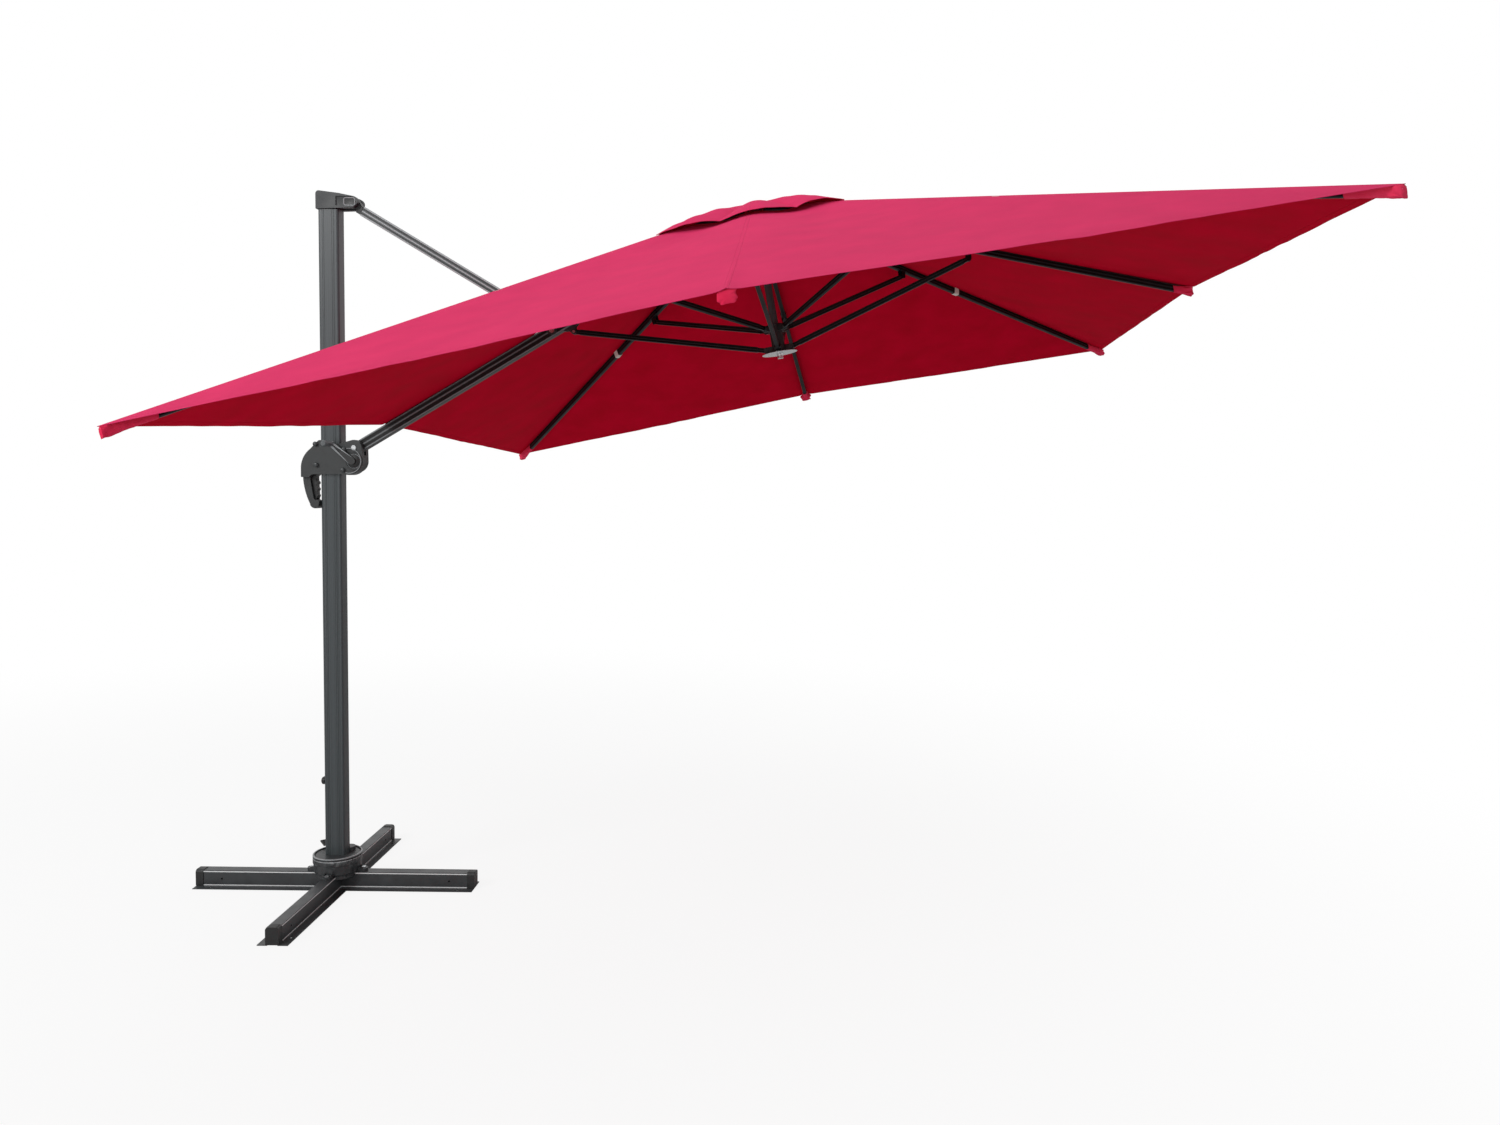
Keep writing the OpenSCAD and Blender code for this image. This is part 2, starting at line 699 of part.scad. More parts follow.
// Eye in the cap's fork at the top, and the fork that straddles the boom at the bottom
module strut_ends() {
    root = arm_leg - fork_len;
    bore_w = strut_w + 2 * pin_gap;
    color(col_black) {
        difference() {
            union() {
                at_strut() plate(-eye_w / 2, eye_w / 2)
                    link_outline([0, 0], [eye_root, -strut_offset / 2 - 3], 15, eye_root_r);
                at_strut_tube() along_x(20, 70) arm_plug(strut_w, strut_d);
            }
            at_strut() pin_y([0, 0], arm_pin_r + pin_gap, -strut_w, strut_w);
        }
        difference() {
            union() {
                at_strut() both_sides(fork_in, fork_in + fork_t)
                    link_outline([arm_leg, 0], [root - 14, strut_offset - 4], 17, 14);
                at_strut_tube() difference() {
                    along_x(root - 26, root - 4) square([2 * fork_in + 2 * over, 26], center = true);
                    along_x(root - 26 - over, root) square([bore_w, 2 * strut_d], center = true);
                }
            }
            at_strut() pin_y([arm_leg, 0], arm_pin_r + pin_gap, -boom_w, boom_w);
        }
    }
}

module boom_tube() {
    color(col_black) at_boom() difference() {
        along_x(26, boom_reach + 17) arm_section(boom_w, boom_d);
        pin_y([arm_leg, 0], arm_pin_r + pin_gap, -boom_w, boom_w);
    }
}

// Point under the boom, in the boom's frame, of a place in the canopy's frame
function on_boom(r, z) = [
    boom_reach - (r - hub_pin_r) * cos(boom_dip) + (z - mid_top_z) * sin(boom_dip),
    -boom_drop + (r - hub_pin_r) * sin(boom_dip) + (z - mid_top_z) * cos(boom_dip)
];

// Eye at the mast, bracket of the stretcher under the boom, and the hub's blade at the far end
module boom_fittings() {
    hub = [boom_reach, -boom_drop];
    low = on_boom(bracket_r, mid_bracket_z);
    half = rib_w / 2;
    under = -boom_d / 2;
    color(col_black) at_boom() difference() {
        union() {
            plate(-boom_w / 2, boom_w / 2) {
                circle(r = boom_eye_r);
                translate([0, -boom_eye_r]) square([26, 2 * boom_eye_r]);
            }
            along_x(25, 70) arm_plug(boom_w, boom_d);
            along_x(boom_reach - 30, boom_reach + 18) arm_plug(boom_w, boom_d);
            along_x(boom_reach + 17, boom_reach + 20) round_rect(boom_w, boom_d, arm_corner);
            plate(-blade_t / 2, blade_t / 2) {
                link_outline(hub, [boom_reach + 2, under - 14], blade_r, 14);
                translate([boom_reach - 24, under - 14]) square([44, 14]);
                translate([boom_reach + 17, under - 3]) square([3, 6]);
            }
            both_sides(half, half + cheek_t) bracket_outline(low, under);
            translate([low[0] - 30, -half - cheek_t, under - 3])
                cube([60, 2 * half + 2 * cheek_t, 3]);
        }
        pin_y([0, 0], arm_pin_r + pin_gap, -boom_w, boom_w);
        pin_y(hub, rib_pin_r + pin_gap, -boom_w, boom_w);
        pin_y(low, rib_pin_r + pin_gap, -boom_w, boom_w);
    }
}

// Side outline of a bracket: a foot along the bar above, narrowing to the round end at its pin
module bracket_outline(p, top) {
    translate(p) circle(r = 10);
    polygon(concat(
        [[p[0] + 9.9, p[1] - 1], [p[0] + 13, (p[1] + top) / 2], [p[0] + 30, top - 3],
         [p[0] + 30, top], [p[0] - 30, top], [p[0] - 30, top - 3],
         [p[0] - 13, (p[1] + top) / 2], [p[0] - 9.9, p[1] - 1]]
    ));
}

// Pins of the boom: the strut's pin and the stretcher's pin
module boom_pins() {
    outer = fork_in + fork_t + side_gap;
    half = rib_w / 2 + cheek_t;
    low = on_boom(bracket_r, mid_bracket_z);
    color(col_steel) at_boom() {
        headed_pin([arm_leg, 0], arm_pin_r, outer, 10, 3);
        headed_pin(low, rib_pin_r, half, 5, 2);
    }
}

// ---------------------------------------------------------------- carriage

// Side outline of a shell, inset by t: winch boss, pivot boss, shoulder, hooked handle
function shell_outline(boss, eye, t) = concat(
    arc([pivot_x - 21, -axle_drop], boss - t, -110, 0, 20),
    arc([pivot_x, 0], eye - t, 0, 112, 14),
    [[24, 9 - t], [-12, 14 - t]],
    arc([-33, 12], 13 - t, 80, 140, 6),
    arc([-14, -82], 93 - t, 128, 176, 12),
    arc([153, -100], 260 - t, 178, 206, 8),
    arc([-61, -208], 22 - t, 208, 330, 12),
    arc([-47, -205], 8 - t / 2, -20, 110, 6),
    arc([-52, -186], 16 + t, 250, 190, 5),
    arc([-57, -124], 22 + t, 178, 90, 8)
);

bolt_places = [[-47, -67], [54, -84], [-49, 10], [58, -8]];
trigger_pivot = [-64, -62];
trigger_pin_r = 3;
trigger_room = 13;

// One shell: a skin over the outline, a rim down to the middle, bosses for the bolts,
// and a handle that is thinner than the body; side is -1 in front and 1 behind
module shell(side, boss, eye) {
    mast_x = mast_w / 2 + slide_gap + liner_t;
    mast_y = mast_d / 2 + slide_gap + liner_t;
    split = fabric_gap / 2;
    axle = [pivot_x, -axle_drop];
    difference() {
        union() {
            body_slab(side, carriage_half - shell_t, carriage_half)
                polygon(shell_outline(boss, eye, 0));
            body_slab(side, split, carriage_half) difference() {
                polygon(shell_outline(boss, eye, 0));
                polygon(shell_outline(boss, eye, shell_t));
            }
            for (p = bolt_places) body_slab(side, split, carriage_half)
                translate(p) circle(r = shell_bolt_r + 4);
            body_slab(side, split, carriage_half) for (s = [-1, 1])
                translate([s * (mast_x + 2), -42]) square([4, 96], center = true);
            body_slab(side, handle_half - shell_t, handle_half) intersection() {
                polygon(shell_outline(boss, eye, 0));
                handle_area();
            }
            body_slab(side, trigger_room, carriage_half) translate(trigger_pivot)
                circle(r = trigger_pin_r + 4);
            body_slab(side, 18, carriage_half) translate(axle) circle(r = axle_r + 5);
            body_slab(side, 18, carriage_half) translate([pivot_x, 0]) circle(r = arm_pin_r + 6);
        }
        body_slab(side, handle_half, carriage_half + over) handle_area();
        translate([-mast_x, -mast_y, -300]) cube([2 * mast_x, 2 * mast_y, 400]);
        translate([52, -boom_w / 2 - side_gap, axle_drop / 2 - 52])
            cube([100, boom_w + 2 * side_gap, 100]);
        pin_y(axle, drum_r + 3, -boom_w / 2 - side_gap, boom_w / 2 + side_gap);
        trigger_pocket();
        pin_y([pivot_x, 0], arm_pin_r + pin_gap, -2 * carriage_half, 2 * carriage_half);
        pin_y(axle, axle_r + pin_gap, -2 * carriage_half, 2 * carriage_half);
        pin_y(trigger_pivot, trigger_pin_r + pin_gap, -handle_half - over, handle_half + over);
        for (p = bolt_places)
            pin_y(p, shell_bolt_r + pin_gap, -2 * carriage_half, 2 * carriage_half);
    }
}

// A flat outline pulled between two distances from the middle, on one side
module body_slab(side, near, far) {
    plate(side > 0 ? near : -far, side > 0 ? far : -near) children();
}

// The part of the shells behind the mast and below its top corner, where the handle is thinner
module handle_area() {
    inner = mast_w / 2 + slide_gap + liner_t + 12;
    translate([-130, -250]) square([130 - inner, 136]);
}

// Room for the trigger to swing in the handle
module trigger_pocket() {
    plate(-trigger_room, trigger_room) polygon([
        [-40, -44], [-80, -44], [-86, -110], [-98, -130], [-94, -190], [-66, -206], [-40, -198]
    ]);
}

module carriage_front() {
    color(col_black) at_carriage() {
        shell(-1, boss_r, eye_r);
        difference() {
            translate([pivot_x, -carriage_half, -axle_drop]) rotate([90, 0, 0])
                rotate_extrude() polygon([[axle_r + 2, 0], [34, 0], [32, 4], [29, 4], [29, 2],
                    [axle_r + 2, 2]]);
            pin_y([pivot_x, 0], 14, -2 * carriage_half, 0);
        }
    }
}

module carriage_back() { color(col_black) at_carriage() shell(1, boss_r - 10, eye_r - 9); }

// Four bolts with domed heads in front and nuts behind
module carriage_bolts() {
    color([0.20, 0.20, 0.21]) at_carriage() for (p = bolt_places) {
        pin_y(p, shell_bolt_r, -carriage_half - over, carriage_half + over);
        translate([p[0], -carriage_half, p[1]]) rotate([90, 0, 0])
            rotate_extrude() intersection() {
                translate([0, -3]) circle(r = 8);
                square([8, 8]);
            }
        translate([p[0], carriage_half, p[1]]) rotate([-90, 0, 0])
            cylinder(r = 2 * shell_bolt_r, h = 5, $fn = 6);
    }
}

// Sleeve of plastic between the shells and the mast, with a collar at each end
module slide_liner() {
    color([0.75, 0.75, 0.72]) at_carriage() translate([0, 0, -92]) difference() {
        linear_extrude(96) round_rect(mast_w + 2 * slide_gap + 2 * liner_t,
            mast_d + 2 * slide_gap + 2 * liner_t, mast_corner);
        translate([0, 0, -over]) linear_extrude(100)
            round_rect(mast_w + 2 * slide_gap, mast_d + 2 * slide_gap, mast_corner);
        translate([-mast_w, -12.5, -over]) cube([mast_w, 25, 60]);
    }
}

module boom_pivot_pin() {
    color(col_steel) at_carriage() headed_pin([pivot_x, 0], arm_pin_r, carriage_half, 9, 3);
}

// Trigger: a finger grip with three waves, and the tooth that meets the mast's slots
module trigger() {
    tip = -mast_w / 2 - fabric_gap;
    waves = [-122, -146, -170];
    color([0.05, 0.05, 0.05]) at_carriage() difference() {
        union() {
            plate(-trigger_room + 1, trigger_room - 1) {
                difference() {
                    union() {
                        link_outline(trigger_pivot, [-74, -112], 8, 12);
                        link_outline([-74, -112], [-67, -188], 12, 8);
                        for (z = waves) translate([-64, z - 12]) circle(r = 7.5);
                    }
                    for (z = waves) translate([-51, z]) circle(r = 9);
                }
                polygon([[-66, -tooth_drop + tooth_h / 2 + 6], [tip, -tooth_drop + tooth_h / 2],
                    [tip, -tooth_drop - tooth_h / 2], [-66, -tooth_drop - tooth_h / 2 - 8]]);
            }
            pin_y(trigger_pivot, trigger_pin_r, -handle_half, handle_half);
        }
        for (s = [-1, 1]) translate([-60, s > 0 ? 7 : -13, -tooth_drop - tooth_h])
            cube([40, 6, 2 * tooth_h]);
    }
}

// Crank: a domed hub and a tapered arm, with the stud that the grip turns on
module crank_arm() {
    hub_y = carriage_half + 2.4;
    end = [pivot_x + crank_len * cos(crank_angle), -axle_drop + crank_len * sin(crank_angle)];
    color([0.12, 0.12, 0.13]) at_carriage() {
        translate([pivot_x, -hub_y, -axle_drop]) rotate([90, 0, 0]) rotate_extrude()
            polygon(concat([[0, 0], [27, 0]], arc([0, -34], 43, 50, 90, 10)));
        pin_y([pivot_x, -axle_drop], axle_r, -hub_y, carriage_half + 4);
        plate(-hub_y - 8 - crank_t, -hub_y - 4)
            link_outline([pivot_x, -axle_drop], end, 13, 9);
        pin_y(end, 4, -hub_y - 8 - crank_t - grip_len, -hub_y - 8);
    }
}

module crank_grip() {
    y0 = carriage_half + 10.4 + crank_t + side_gap;
    end = [pivot_x + crank_len * cos(crank_angle), -axle_drop + crank_len * sin(crank_angle)];
    color([0.35, 0.36, 0.37]) at_carriage() difference() {
        translate([end[0], -y0, end[1]]) rotate([90, 0, 0]) rotate_extrude() polygon([
            [0, 0], [grip_r - 2, 0], [grip_r, 3], [grip_r - 1.5, grip_len / 2],
            [grip_r, grip_len - 4], [grip_r - 3, grip_len + 3], [0, grip_len + 3]
        ]);
        pin_y(end, 4 + pin_gap, -y0 - grip_len, -y0 + over);
    }
}

// Winch drum on the crank's axle, between the shells, with the cord's groove
module winch_drum() {
    half = boom_w / 2 - 1;
    color(col_steel) at_carriage() translate([pivot_x, half, -axle_drop]) rotate([90, 0, 0])
        rotate_extrude() difference() {
            translate([axle_r, 0]) square([drum_r - axle_r, 2 * half]);
            translate([drum_r - 6, 3]) square([8, 2 * half - 12]);
            for (i = [0 : 2]) translate([drum_r, 2 * half - 2 - 2.6 * i]) circle(r = 0.8);
        }
}

// ---------------------------------------------------------------- hubs

// One slotted lobe of a hub at height z, with its pin across the slot
module hub_lobe(z) {
    difference() {
        translate([0, 0, z]) union() {
            translate([hub_core_r - 8, -lobe_w / 2, -11])
                cube([hub_pin_r - hub_core_r + 8, lobe_w, 22]);
            pin_y([hub_pin_r, 0], 11, -lobe_w / 2, lobe_w / 2);
        }
        translate([hub_pin_r - blade_r - 1.5, -blade_t / 2 - side_gap, z - 20])
            cube([40, blade_t + 2 * side_gap, 40]);
    }
    pin_y([hub_pin_r, z], rib_pin_r, -lobe_w / 2 - 1.5, lobe_w / 2 + 1.5);
}

// Core of a hub between two heights, with four lobes on each of its two tiers
module hub_body(bottom, top, mid_z, corner_z, bore) {
    difference() {
        union() {
            translate([0, 0, bottom]) cylinder(r = hub_core_r, h = top - bottom);
            for (dir = [0 : 90 : 270]) {
                rotate([0, 0, dir]) hub_lobe(mid_z);
                rotate([0, 0, dir + 45]) hub_lobe(corner_z);
            }
            for (z = [bottom, top - 5]) translate([0, 0, z]) cylinder(r = hub_core_r + 4, h = 5);
        }
        translate([0, 0, bottom - over]) cylinder(r = bore, h = top - bottom + 2 * over);
    }
}

module top_hub() {
    color(col_black) at_canopy()
        hub_body(mid_top_z - 16, corner_top_z + 22, mid_top_z, corner_top_z, tube_r + pin_gap);
}

// Tube from the top hub down into the lower hub's bore
module centre_tube() {
    low = corner_low_z - 6;
    color(col_mast) at_canopy() translate([0, 0, low]) difference() {
        cylinder(r = tube_r, h = corner_top_z + 22 - low);
        translate([0, 0, -over]) cylinder(r = tube_r - 2, h = corner_top_z);
    }
}

// Cap on the top hub, whose slopes carry the vent cover
module hub_cap() {
    base = corner_top_z + 22;
    peak = cover_top - fabric_t - fabric_gap - base;
    rim = hub_core_r + 4;
    pitch = (cover_top - fabric_line(0, cover_half) - cover_rise) / cover_half;
    color([0.05, 0.05, 0.05]) at_canopy() translate([0, 0, base]) rotate_extrude() polygon([
        [0, 0], [rim - 6, 0], [rim - 4, 3], [rim - 4, 8],
        [rim, 10], [rim, peak - pitch * rim], [4, peak - pitch * 4 - 0.2], [0, peak - pitch * 4 - 0.2]
    ]);
}

module lower_hub() {
    color(col_black) at_canopy()
        hub_body(mid_low_z - 16, corner_low_z + 16, mid_low_z, corner_low_z, tube_r + free_gap);
}

// Thin bright disc under the lower hub, with its black nut
module hub_disc() {
    color(col_steel) at_canopy() translate([0, 0, mid_low_z - 16]) {
        translate([0, 0, -2]) cylinder(r = disc_r, h = 2, $fn = 72);
        translate([0, 0, -20]) cylinder(r = 11, h = 18.5);
    }
}

// ---------------------------------------------------------------- ribs and stretchers

// A rib: its grooved tube, the blade down to the hub's pin, the stretcher's bracket and its tip
module rib(dir) {
    slope = rib_slope(dir);
    root_z = rib_line(dir, hub_pin_r);
    pin = [hub_pin_r, top_pin_z(dir)];
    low = [bracket_r, bracket_z(dir)];
    start = 22;
    length = (rib_end(dir) - hub_pin_r) / cos(slope);
    root = [hub_pin_r, root_z];
    arm = root + start * [cos(slope), -sin(slope)];
    under = rib_line(dir, bracket_r);
    half = rib_w / 2;
    at_rib(dir) difference() {
        union() {
            color(col_black) translate([hub_pin_r, 0, root_z]) rotate([0, slope, 0]) {
                along_x(start, length - 20)
                    section(rib_w, rib_d, 3, rib_t, [-rib_d / 6, rib_d / 6], 2, 0.6);
                along_x(start - 4, start + 30)
                    square([rib_w - 2 * rib_t, rib_d - 2 * rib_t], center = true);
                along_x(length - 50, length)
                    square([rib_w - 2 * rib_t, rib_d - 2 * rib_t], center = true);
                along_x(length - 20, length) round_rect(rib_w, rib_d - 4, 6);
            }
            color(col_black) plate(-blade_t / 2, blade_t / 2) {
                link_outline(pin, arm, blade_r, 11);
                translate(arm) rotate(-slope) translate([0, -rib_d / 2]) square([26, rib_d - 2]);
            }
            color(col_black) both_sides(half - lap, half + cheek_t) {
                link_outline(low, [bracket_r + 4, under - 2], 10, 10);
                translate([bracket_r, under]) rotate(-slope) translate([-26, -9])
                    square([58, 16]);
            }
            color(col_steel) {
                pin_y(low, rib_pin_r, -half - cheek_t - 1.5, half + cheek_t + 1.5);
                for (x = [-18, 24]) pin_y([bracket_r + x * cos(slope), under - x * sin(slope)],
                    3, -half - cheek_t - 1.5, half + cheek_t + 1.5);
            }
        }
        pin_y(pin, rib_pin_r + pin_gap, -rib_w, rib_w);
    }
}

// A stretcher: tube with an eye between the bracket's cheeks and a blade in the lower hub
module stretcher(dir) {
    low = [hub_pin_r, low_pin_z(dir)];
    eye_half = rib_w / 2 - side_gap;
    color(col_black) at_rib(dir) translate([low[0], 0, low[1]]) rotate([0, -link_slope, 0])
        difference() {
            union() {
                along_x(34, link_len - 22)
                    section(rib_w - 2, stretcher_d, 3, rib_t, [-3, 3], 2, 0.6);
                along_x(30, 60)
                    square([rib_w - 2 - 2 * rib_t, stretcher_d - 2 * rib_t], center = true);
                along_x(link_len - 50, link_len - 20)
                    square([rib_w - 2 - 2 * rib_t, stretcher_d - 2 * rib_t], center = true);
                plate(-blade_t / 2, blade_t / 2) link_outline([0, 0], [34, 0], blade_r, 8);
                plate(-eye_half, eye_half) {
                    translate([link_len, 0]) circle(r = 9);
                    translate([link_len - 22, -8]) square([22, 16]);
                }
            }
            pin_y([0, 0], rib_pin_r + pin_gap, -rib_w, rib_w);
            pin_y([link_len, 0], rib_pin_r + pin_gap, -rib_w, rib_w);
        }
}

// ---------------------------------------------------------------- fabric

// Closed sheet over flat outline points, whose heights are given, of thickness t
module sheet(points, t) {
    n = len(points);
    polyhedron(
        points = concat(points, [for (p = points) p - [0, 0, t]]),
        faces = concat(
            [[for (i = [n - 1 : -1 : 0]) i], [for (i = [0 : n - 1]) n + i]],
            [for (i = [0 : n - 1]) [i, (i + 1) % n, n + (i + 1) % n, n + i]]
        )
    );
}

// Height of the fabric's quarter about a side rib: a plane on each side of that rib
function quarter_z(dir, x, y, top, edge) = let (
    s = abs(y) / x,
    mid = fabric_line(dir, edge),
    corner = fabric_line(45, edge * sqrt(2))
) top + (mid + s * (corner - mid) - top) * x / edge;

// The fabric's outline points, and those of the vent cover, which lies on the corner ribs
function on_fabric(dir, pts) =
    [for (p = pts) [p[0], p[1], quarter_z(dir, p[0], p[1], apex_z, canopy_half)]];
function on_cover(dir, pts) = [for (p = pts) let (
    k = p[0] / cover_half,
    s = p[1] / p[0],
    z = quarter_z(dir, p[0], p[1], cover_top, cover_half)
) [p[0], p[1], z + k * (cover_rise + s * (cover_seat - cover_rise))]];

// The strip of a quarter beside its side rib, or the one beside its corner rib
function gore(near_corner, from, to) = let (g = fabric_gap / 2) near_corner
    ? [[from, from / 2 + g], [to, to / 2 + g], [to, to], [from, from]]
    : [[from, 0], [to, 0], [to, to / 2 - g], [from, from / 2 - g]];

// The fabric of one rib: a strip on each side of it, and its share of the vent cover
module fabric(dir) {
    corner = is_corner(dir);
    color(col_fabric) at_canopy() difference() {
        for (side = [-1, 1]) {
            mid = corner ? (dir - side * 45 + 360) % 360 : dir;
            rotate([0, 0, mid]) mirror([0, side < 0 ? 1 : 0, 0]) {
                sheet(on_fabric(mid, gore(corner, vent_half, canopy_half)), fabric_t);
                sheet(on_cover(mid, gore(corner, cover_hole, cover_half)), fabric_t);
            }
        }
        if (dir == 180) translate([-slit_b, -slit_half, 0])
            cube([slit_b - slit_a, 2 * slit_half, apex_z]);
    }
}

leg_x();
leg_y();
leg_end_caps();
turning_ring();
ring_bolts();
thrust_washer();
centre_bolt();
turntable();
mast_spigot();
mast_tube();
mast_cap();
cap_pin();
pedal_bracket();
mast_knob();
foot_pedal();
strut_tube();
strut_ends();
boom_tube();
boom_fittings();
boom_pins();
carriage_front();
carriage_back();
carriage_bolts();
slide_liner();
boom_pivot_pin();
trigger();
crank_arm();
winch_drum();
crank_grip();
top_hub();
centre_tube();
hub_cap();
lower_hub();
hub_disc();
rib(0);  // rib_0
rib(45);  // rib_45
rib(90);  // rib_90
rib(135);  // rib_135
rib(225);  // rib_225
rib(270);  // rib_270
rib(315);  // rib_315
stretcher(0);  // stretcher_0
stretcher(45);  // stretcher_45
stretcher(90);  // stretcher_90
stretcher(135);  // stretcher_135
stretcher(180);  // stretcher_180
stretcher(225);  // stretcher_225
stretcher(270);  // stretcher_270
stretcher(315);  // stretcher_315
fabric(0);  // fabric_0
fabric(45);  // fabric_45
fabric(90);  // fabric_90
fabric(135);  // fabric_135
fabric(180);  // fabric_180
fabric(225);  // fabric_225
fabric(270);  // fabric_270
fabric(315);  // fabric_315
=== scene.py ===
"""Looks of the cantilever patio umbrella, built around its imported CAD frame. Lengths are in metres."""

import json
import math

import bmesh
import bpy
import numpy as np
from mathutils import Matrix, Vector, noise


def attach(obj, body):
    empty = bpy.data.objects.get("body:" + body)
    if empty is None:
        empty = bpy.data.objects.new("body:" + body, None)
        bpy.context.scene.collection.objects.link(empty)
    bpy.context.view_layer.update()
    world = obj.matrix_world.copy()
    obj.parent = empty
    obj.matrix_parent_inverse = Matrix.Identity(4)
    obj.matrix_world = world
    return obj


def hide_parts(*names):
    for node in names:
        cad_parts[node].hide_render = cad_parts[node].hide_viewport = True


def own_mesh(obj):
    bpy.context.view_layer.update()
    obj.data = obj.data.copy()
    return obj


MM = 0.001

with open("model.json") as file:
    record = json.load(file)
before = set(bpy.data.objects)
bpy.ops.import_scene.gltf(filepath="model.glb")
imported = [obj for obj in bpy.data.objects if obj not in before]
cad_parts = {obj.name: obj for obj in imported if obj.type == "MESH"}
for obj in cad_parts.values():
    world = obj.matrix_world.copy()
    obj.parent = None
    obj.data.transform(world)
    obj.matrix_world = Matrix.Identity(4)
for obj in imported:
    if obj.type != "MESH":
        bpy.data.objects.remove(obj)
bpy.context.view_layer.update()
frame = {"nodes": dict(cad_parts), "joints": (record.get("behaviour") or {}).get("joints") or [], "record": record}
joints = {j["name"]: j for j in frame["joints"]}
body_of = {n: b for b, ns in frame["record"]["behaviour"]["bodies"].items() for n in ns}


# ---------------------------------------------------------------- canopy's own frame

SIDE_TURNS = (0, 90, 180, 270)
CORNER_TURNS = (45, 135, 225, 315)
VENT = 0.225
COVER = 0.320
COVER_TABS = (0.0, 0.344, 0.75, 1.0)
THICK = 1.2 * MM
COVER_EYE = 0.016

boom_pin = Vector(joints["canopy_fold"]["pos_m"])
far_pin = Vector(joints["hub_to_rib_0"]["pos_m"])
canopy_x = (far_pin - boom_pin).normalized()
canopy_z = canopy_x.cross(Vector((0, 1, 0)))
canopy_at = (boom_pin + far_pin) / 2
canopy = (
    Matrix.Translation(canopy_at)
    @ Matrix((canopy_x, Vector((0, 1, 0)), canopy_z)).transposed().to_4x4()
)


def turned(turn):
    """From a rib's own frame, with +X along that rib, to the row frame."""
    return canopy @ Matrix.Rotation(math.radians(turn), 4, "Z")


def cloth_plane(turn, inner, outer):
    """Height on the axis, and falls along and across, of the cloth beside a side rib."""
    back = turned(turn).inverted()
    points = [back @ v.co for v in frame["nodes"][f"fabric_{turn}"].data.vertices]
    kept = [
        p
        for p in points
        if min(abs(p.x - inner), abs(p.x - outer)) < 2 * MM and p.y >= -MM
    ]
    rows = np.array([(1.0, p.x, p.y) for p in kept])
    high = np.array([p.z for p in kept])
    return np.linalg.lstsq(rows, high, rcond=None)[0]


HALF = max(
    (turned(0).inverted() @ v.co).x for v in frame["nodes"]["fabric_0"].data.vertices
)


# ---------------------------------------------------------------- camera, light and floor


def place_camera():
    """At a standing person's eye height, in front of the canopy's middle."""
    yaw, pitch, roll = -0.0368, -0.0793, 0.0266
    ahead = Vector(
        (
            math.sin(yaw) * math.cos(pitch),
            math.cos(yaw) * math.cos(pitch),
            math.sin(pitch),
        )
    )
    level = Vector((math.cos(yaw), -math.sin(yaw), 0))
    upright = level.cross(ahead)
    right = math.cos(roll) * level + math.sin(roll) * upright
    up = math.cos(roll) * upright - math.sin(roll) * level
    data = bpy.data.cameras.new("camera")
    data.sensor_width = 36
    data.lens = 25.29
    data.shift_x = -0.0514
    data.shift_y = -0.0018
    camera = bpy.data.objects.new("camera", data)
    camera.matrix_world = (
        Matrix.Translation((2.0045, -3.8948, 1.6316))
        @ Matrix((right, up, -ahead)).transposed().to_4x4()
    )
    bpy.context.collection.objects.link(camera)
    bpy.context.scene.camera = camera


def place_lamp(name, place, aim, size, power):
    data = bpy.data.lights.new(name, "AREA")
    data.shape = "DISK"
    data.size = size
    data.energy = power
    lamp = bpy.data.objects.new(name, data)
    turn = (Vector(aim) - Vector(place)).to_track_quat("-Z", "Y")
    lamp.matrix_world = Matrix.Translation(place) @ turn.to_matrix().to_4x4()
    bpy.context.collection.objects.link(lamp)


def linear(code):
    """The linear colour of an sRGB hex value."""
    channels = [int(code[i : i + 2], 16) / 255 for i in (1, 3, 5)]
    return [
        c / 12.92 if c <= 0.04045 else ((c + 0.055) / 1.055) ** 2.4 for c in channels
    ] + [1.0]


def add_node(tree, kind, sockets=None, **settings):
    """A shader node with its settings, and its sockets set to values or linked to outputs."""
    made = tree.nodes.new(kind)
    for key, value in settings.items():
        setattr(made, key, value)
    for key, value in (sockets or {}).items():
        if isinstance(value, bpy.types.NodeSocket):
            tree.links.new(value, made.inputs[key])
        else:
            made.inputs[key].default_value = value
    return made


def light_the_studio():
    world = bpy.data.worlds.new("studio")
    bpy.context.scene.world = world
    world.use_nodes = True
    tree = world.node_tree
    tree.nodes.clear()
    rays = add_node(tree, "ShaderNodeLightPath")
    bright = add_node(
        tree,
        "ShaderNodeMath",
        {0: rays.outputs["Is Camera Ray"], 1: rays.outputs["Is Transmission Ray"]},
        operation="MAXIMUM",
    )
    seen = add_node(
        tree,
        "ShaderNodeMath",
        {0: bright.outputs[0], 1: rays.outputs["Is Glossy Ray"]},
        operation="MAXIMUM",
    )
    soft = add_node(
        tree, "ShaderNodeBackground", {"Color": linear("#FFFFFF"), "Strength": 0.45}
    )
    white = add_node(
        tree, "ShaderNodeBackground", {"Color": linear("#FFFFFF"), "Strength": 1.0}
    )
    mix = add_node(
        tree,
        "ShaderNodeMixShader",
        {0: seen.outputs[0], 1: soft.outputs[0], 2: white.outputs[0]},
    )
    add_node(tree, "ShaderNodeOutputWorld", {"Surface": mix.outputs[0]})
    place_lamp("key", (-3.6, -5.2, 5.2), (1.2, 0.0, 1.6), 3.0, 230)
    place_lamp("fill", (-0.6, -6.8, 1.3), (1.6, 0.0, 1.6), 3.0, 60)
    place_lamp("top", (1.5, 0.4, 6.4), (1.5, 0.0, 2.0), 3.6, 50)


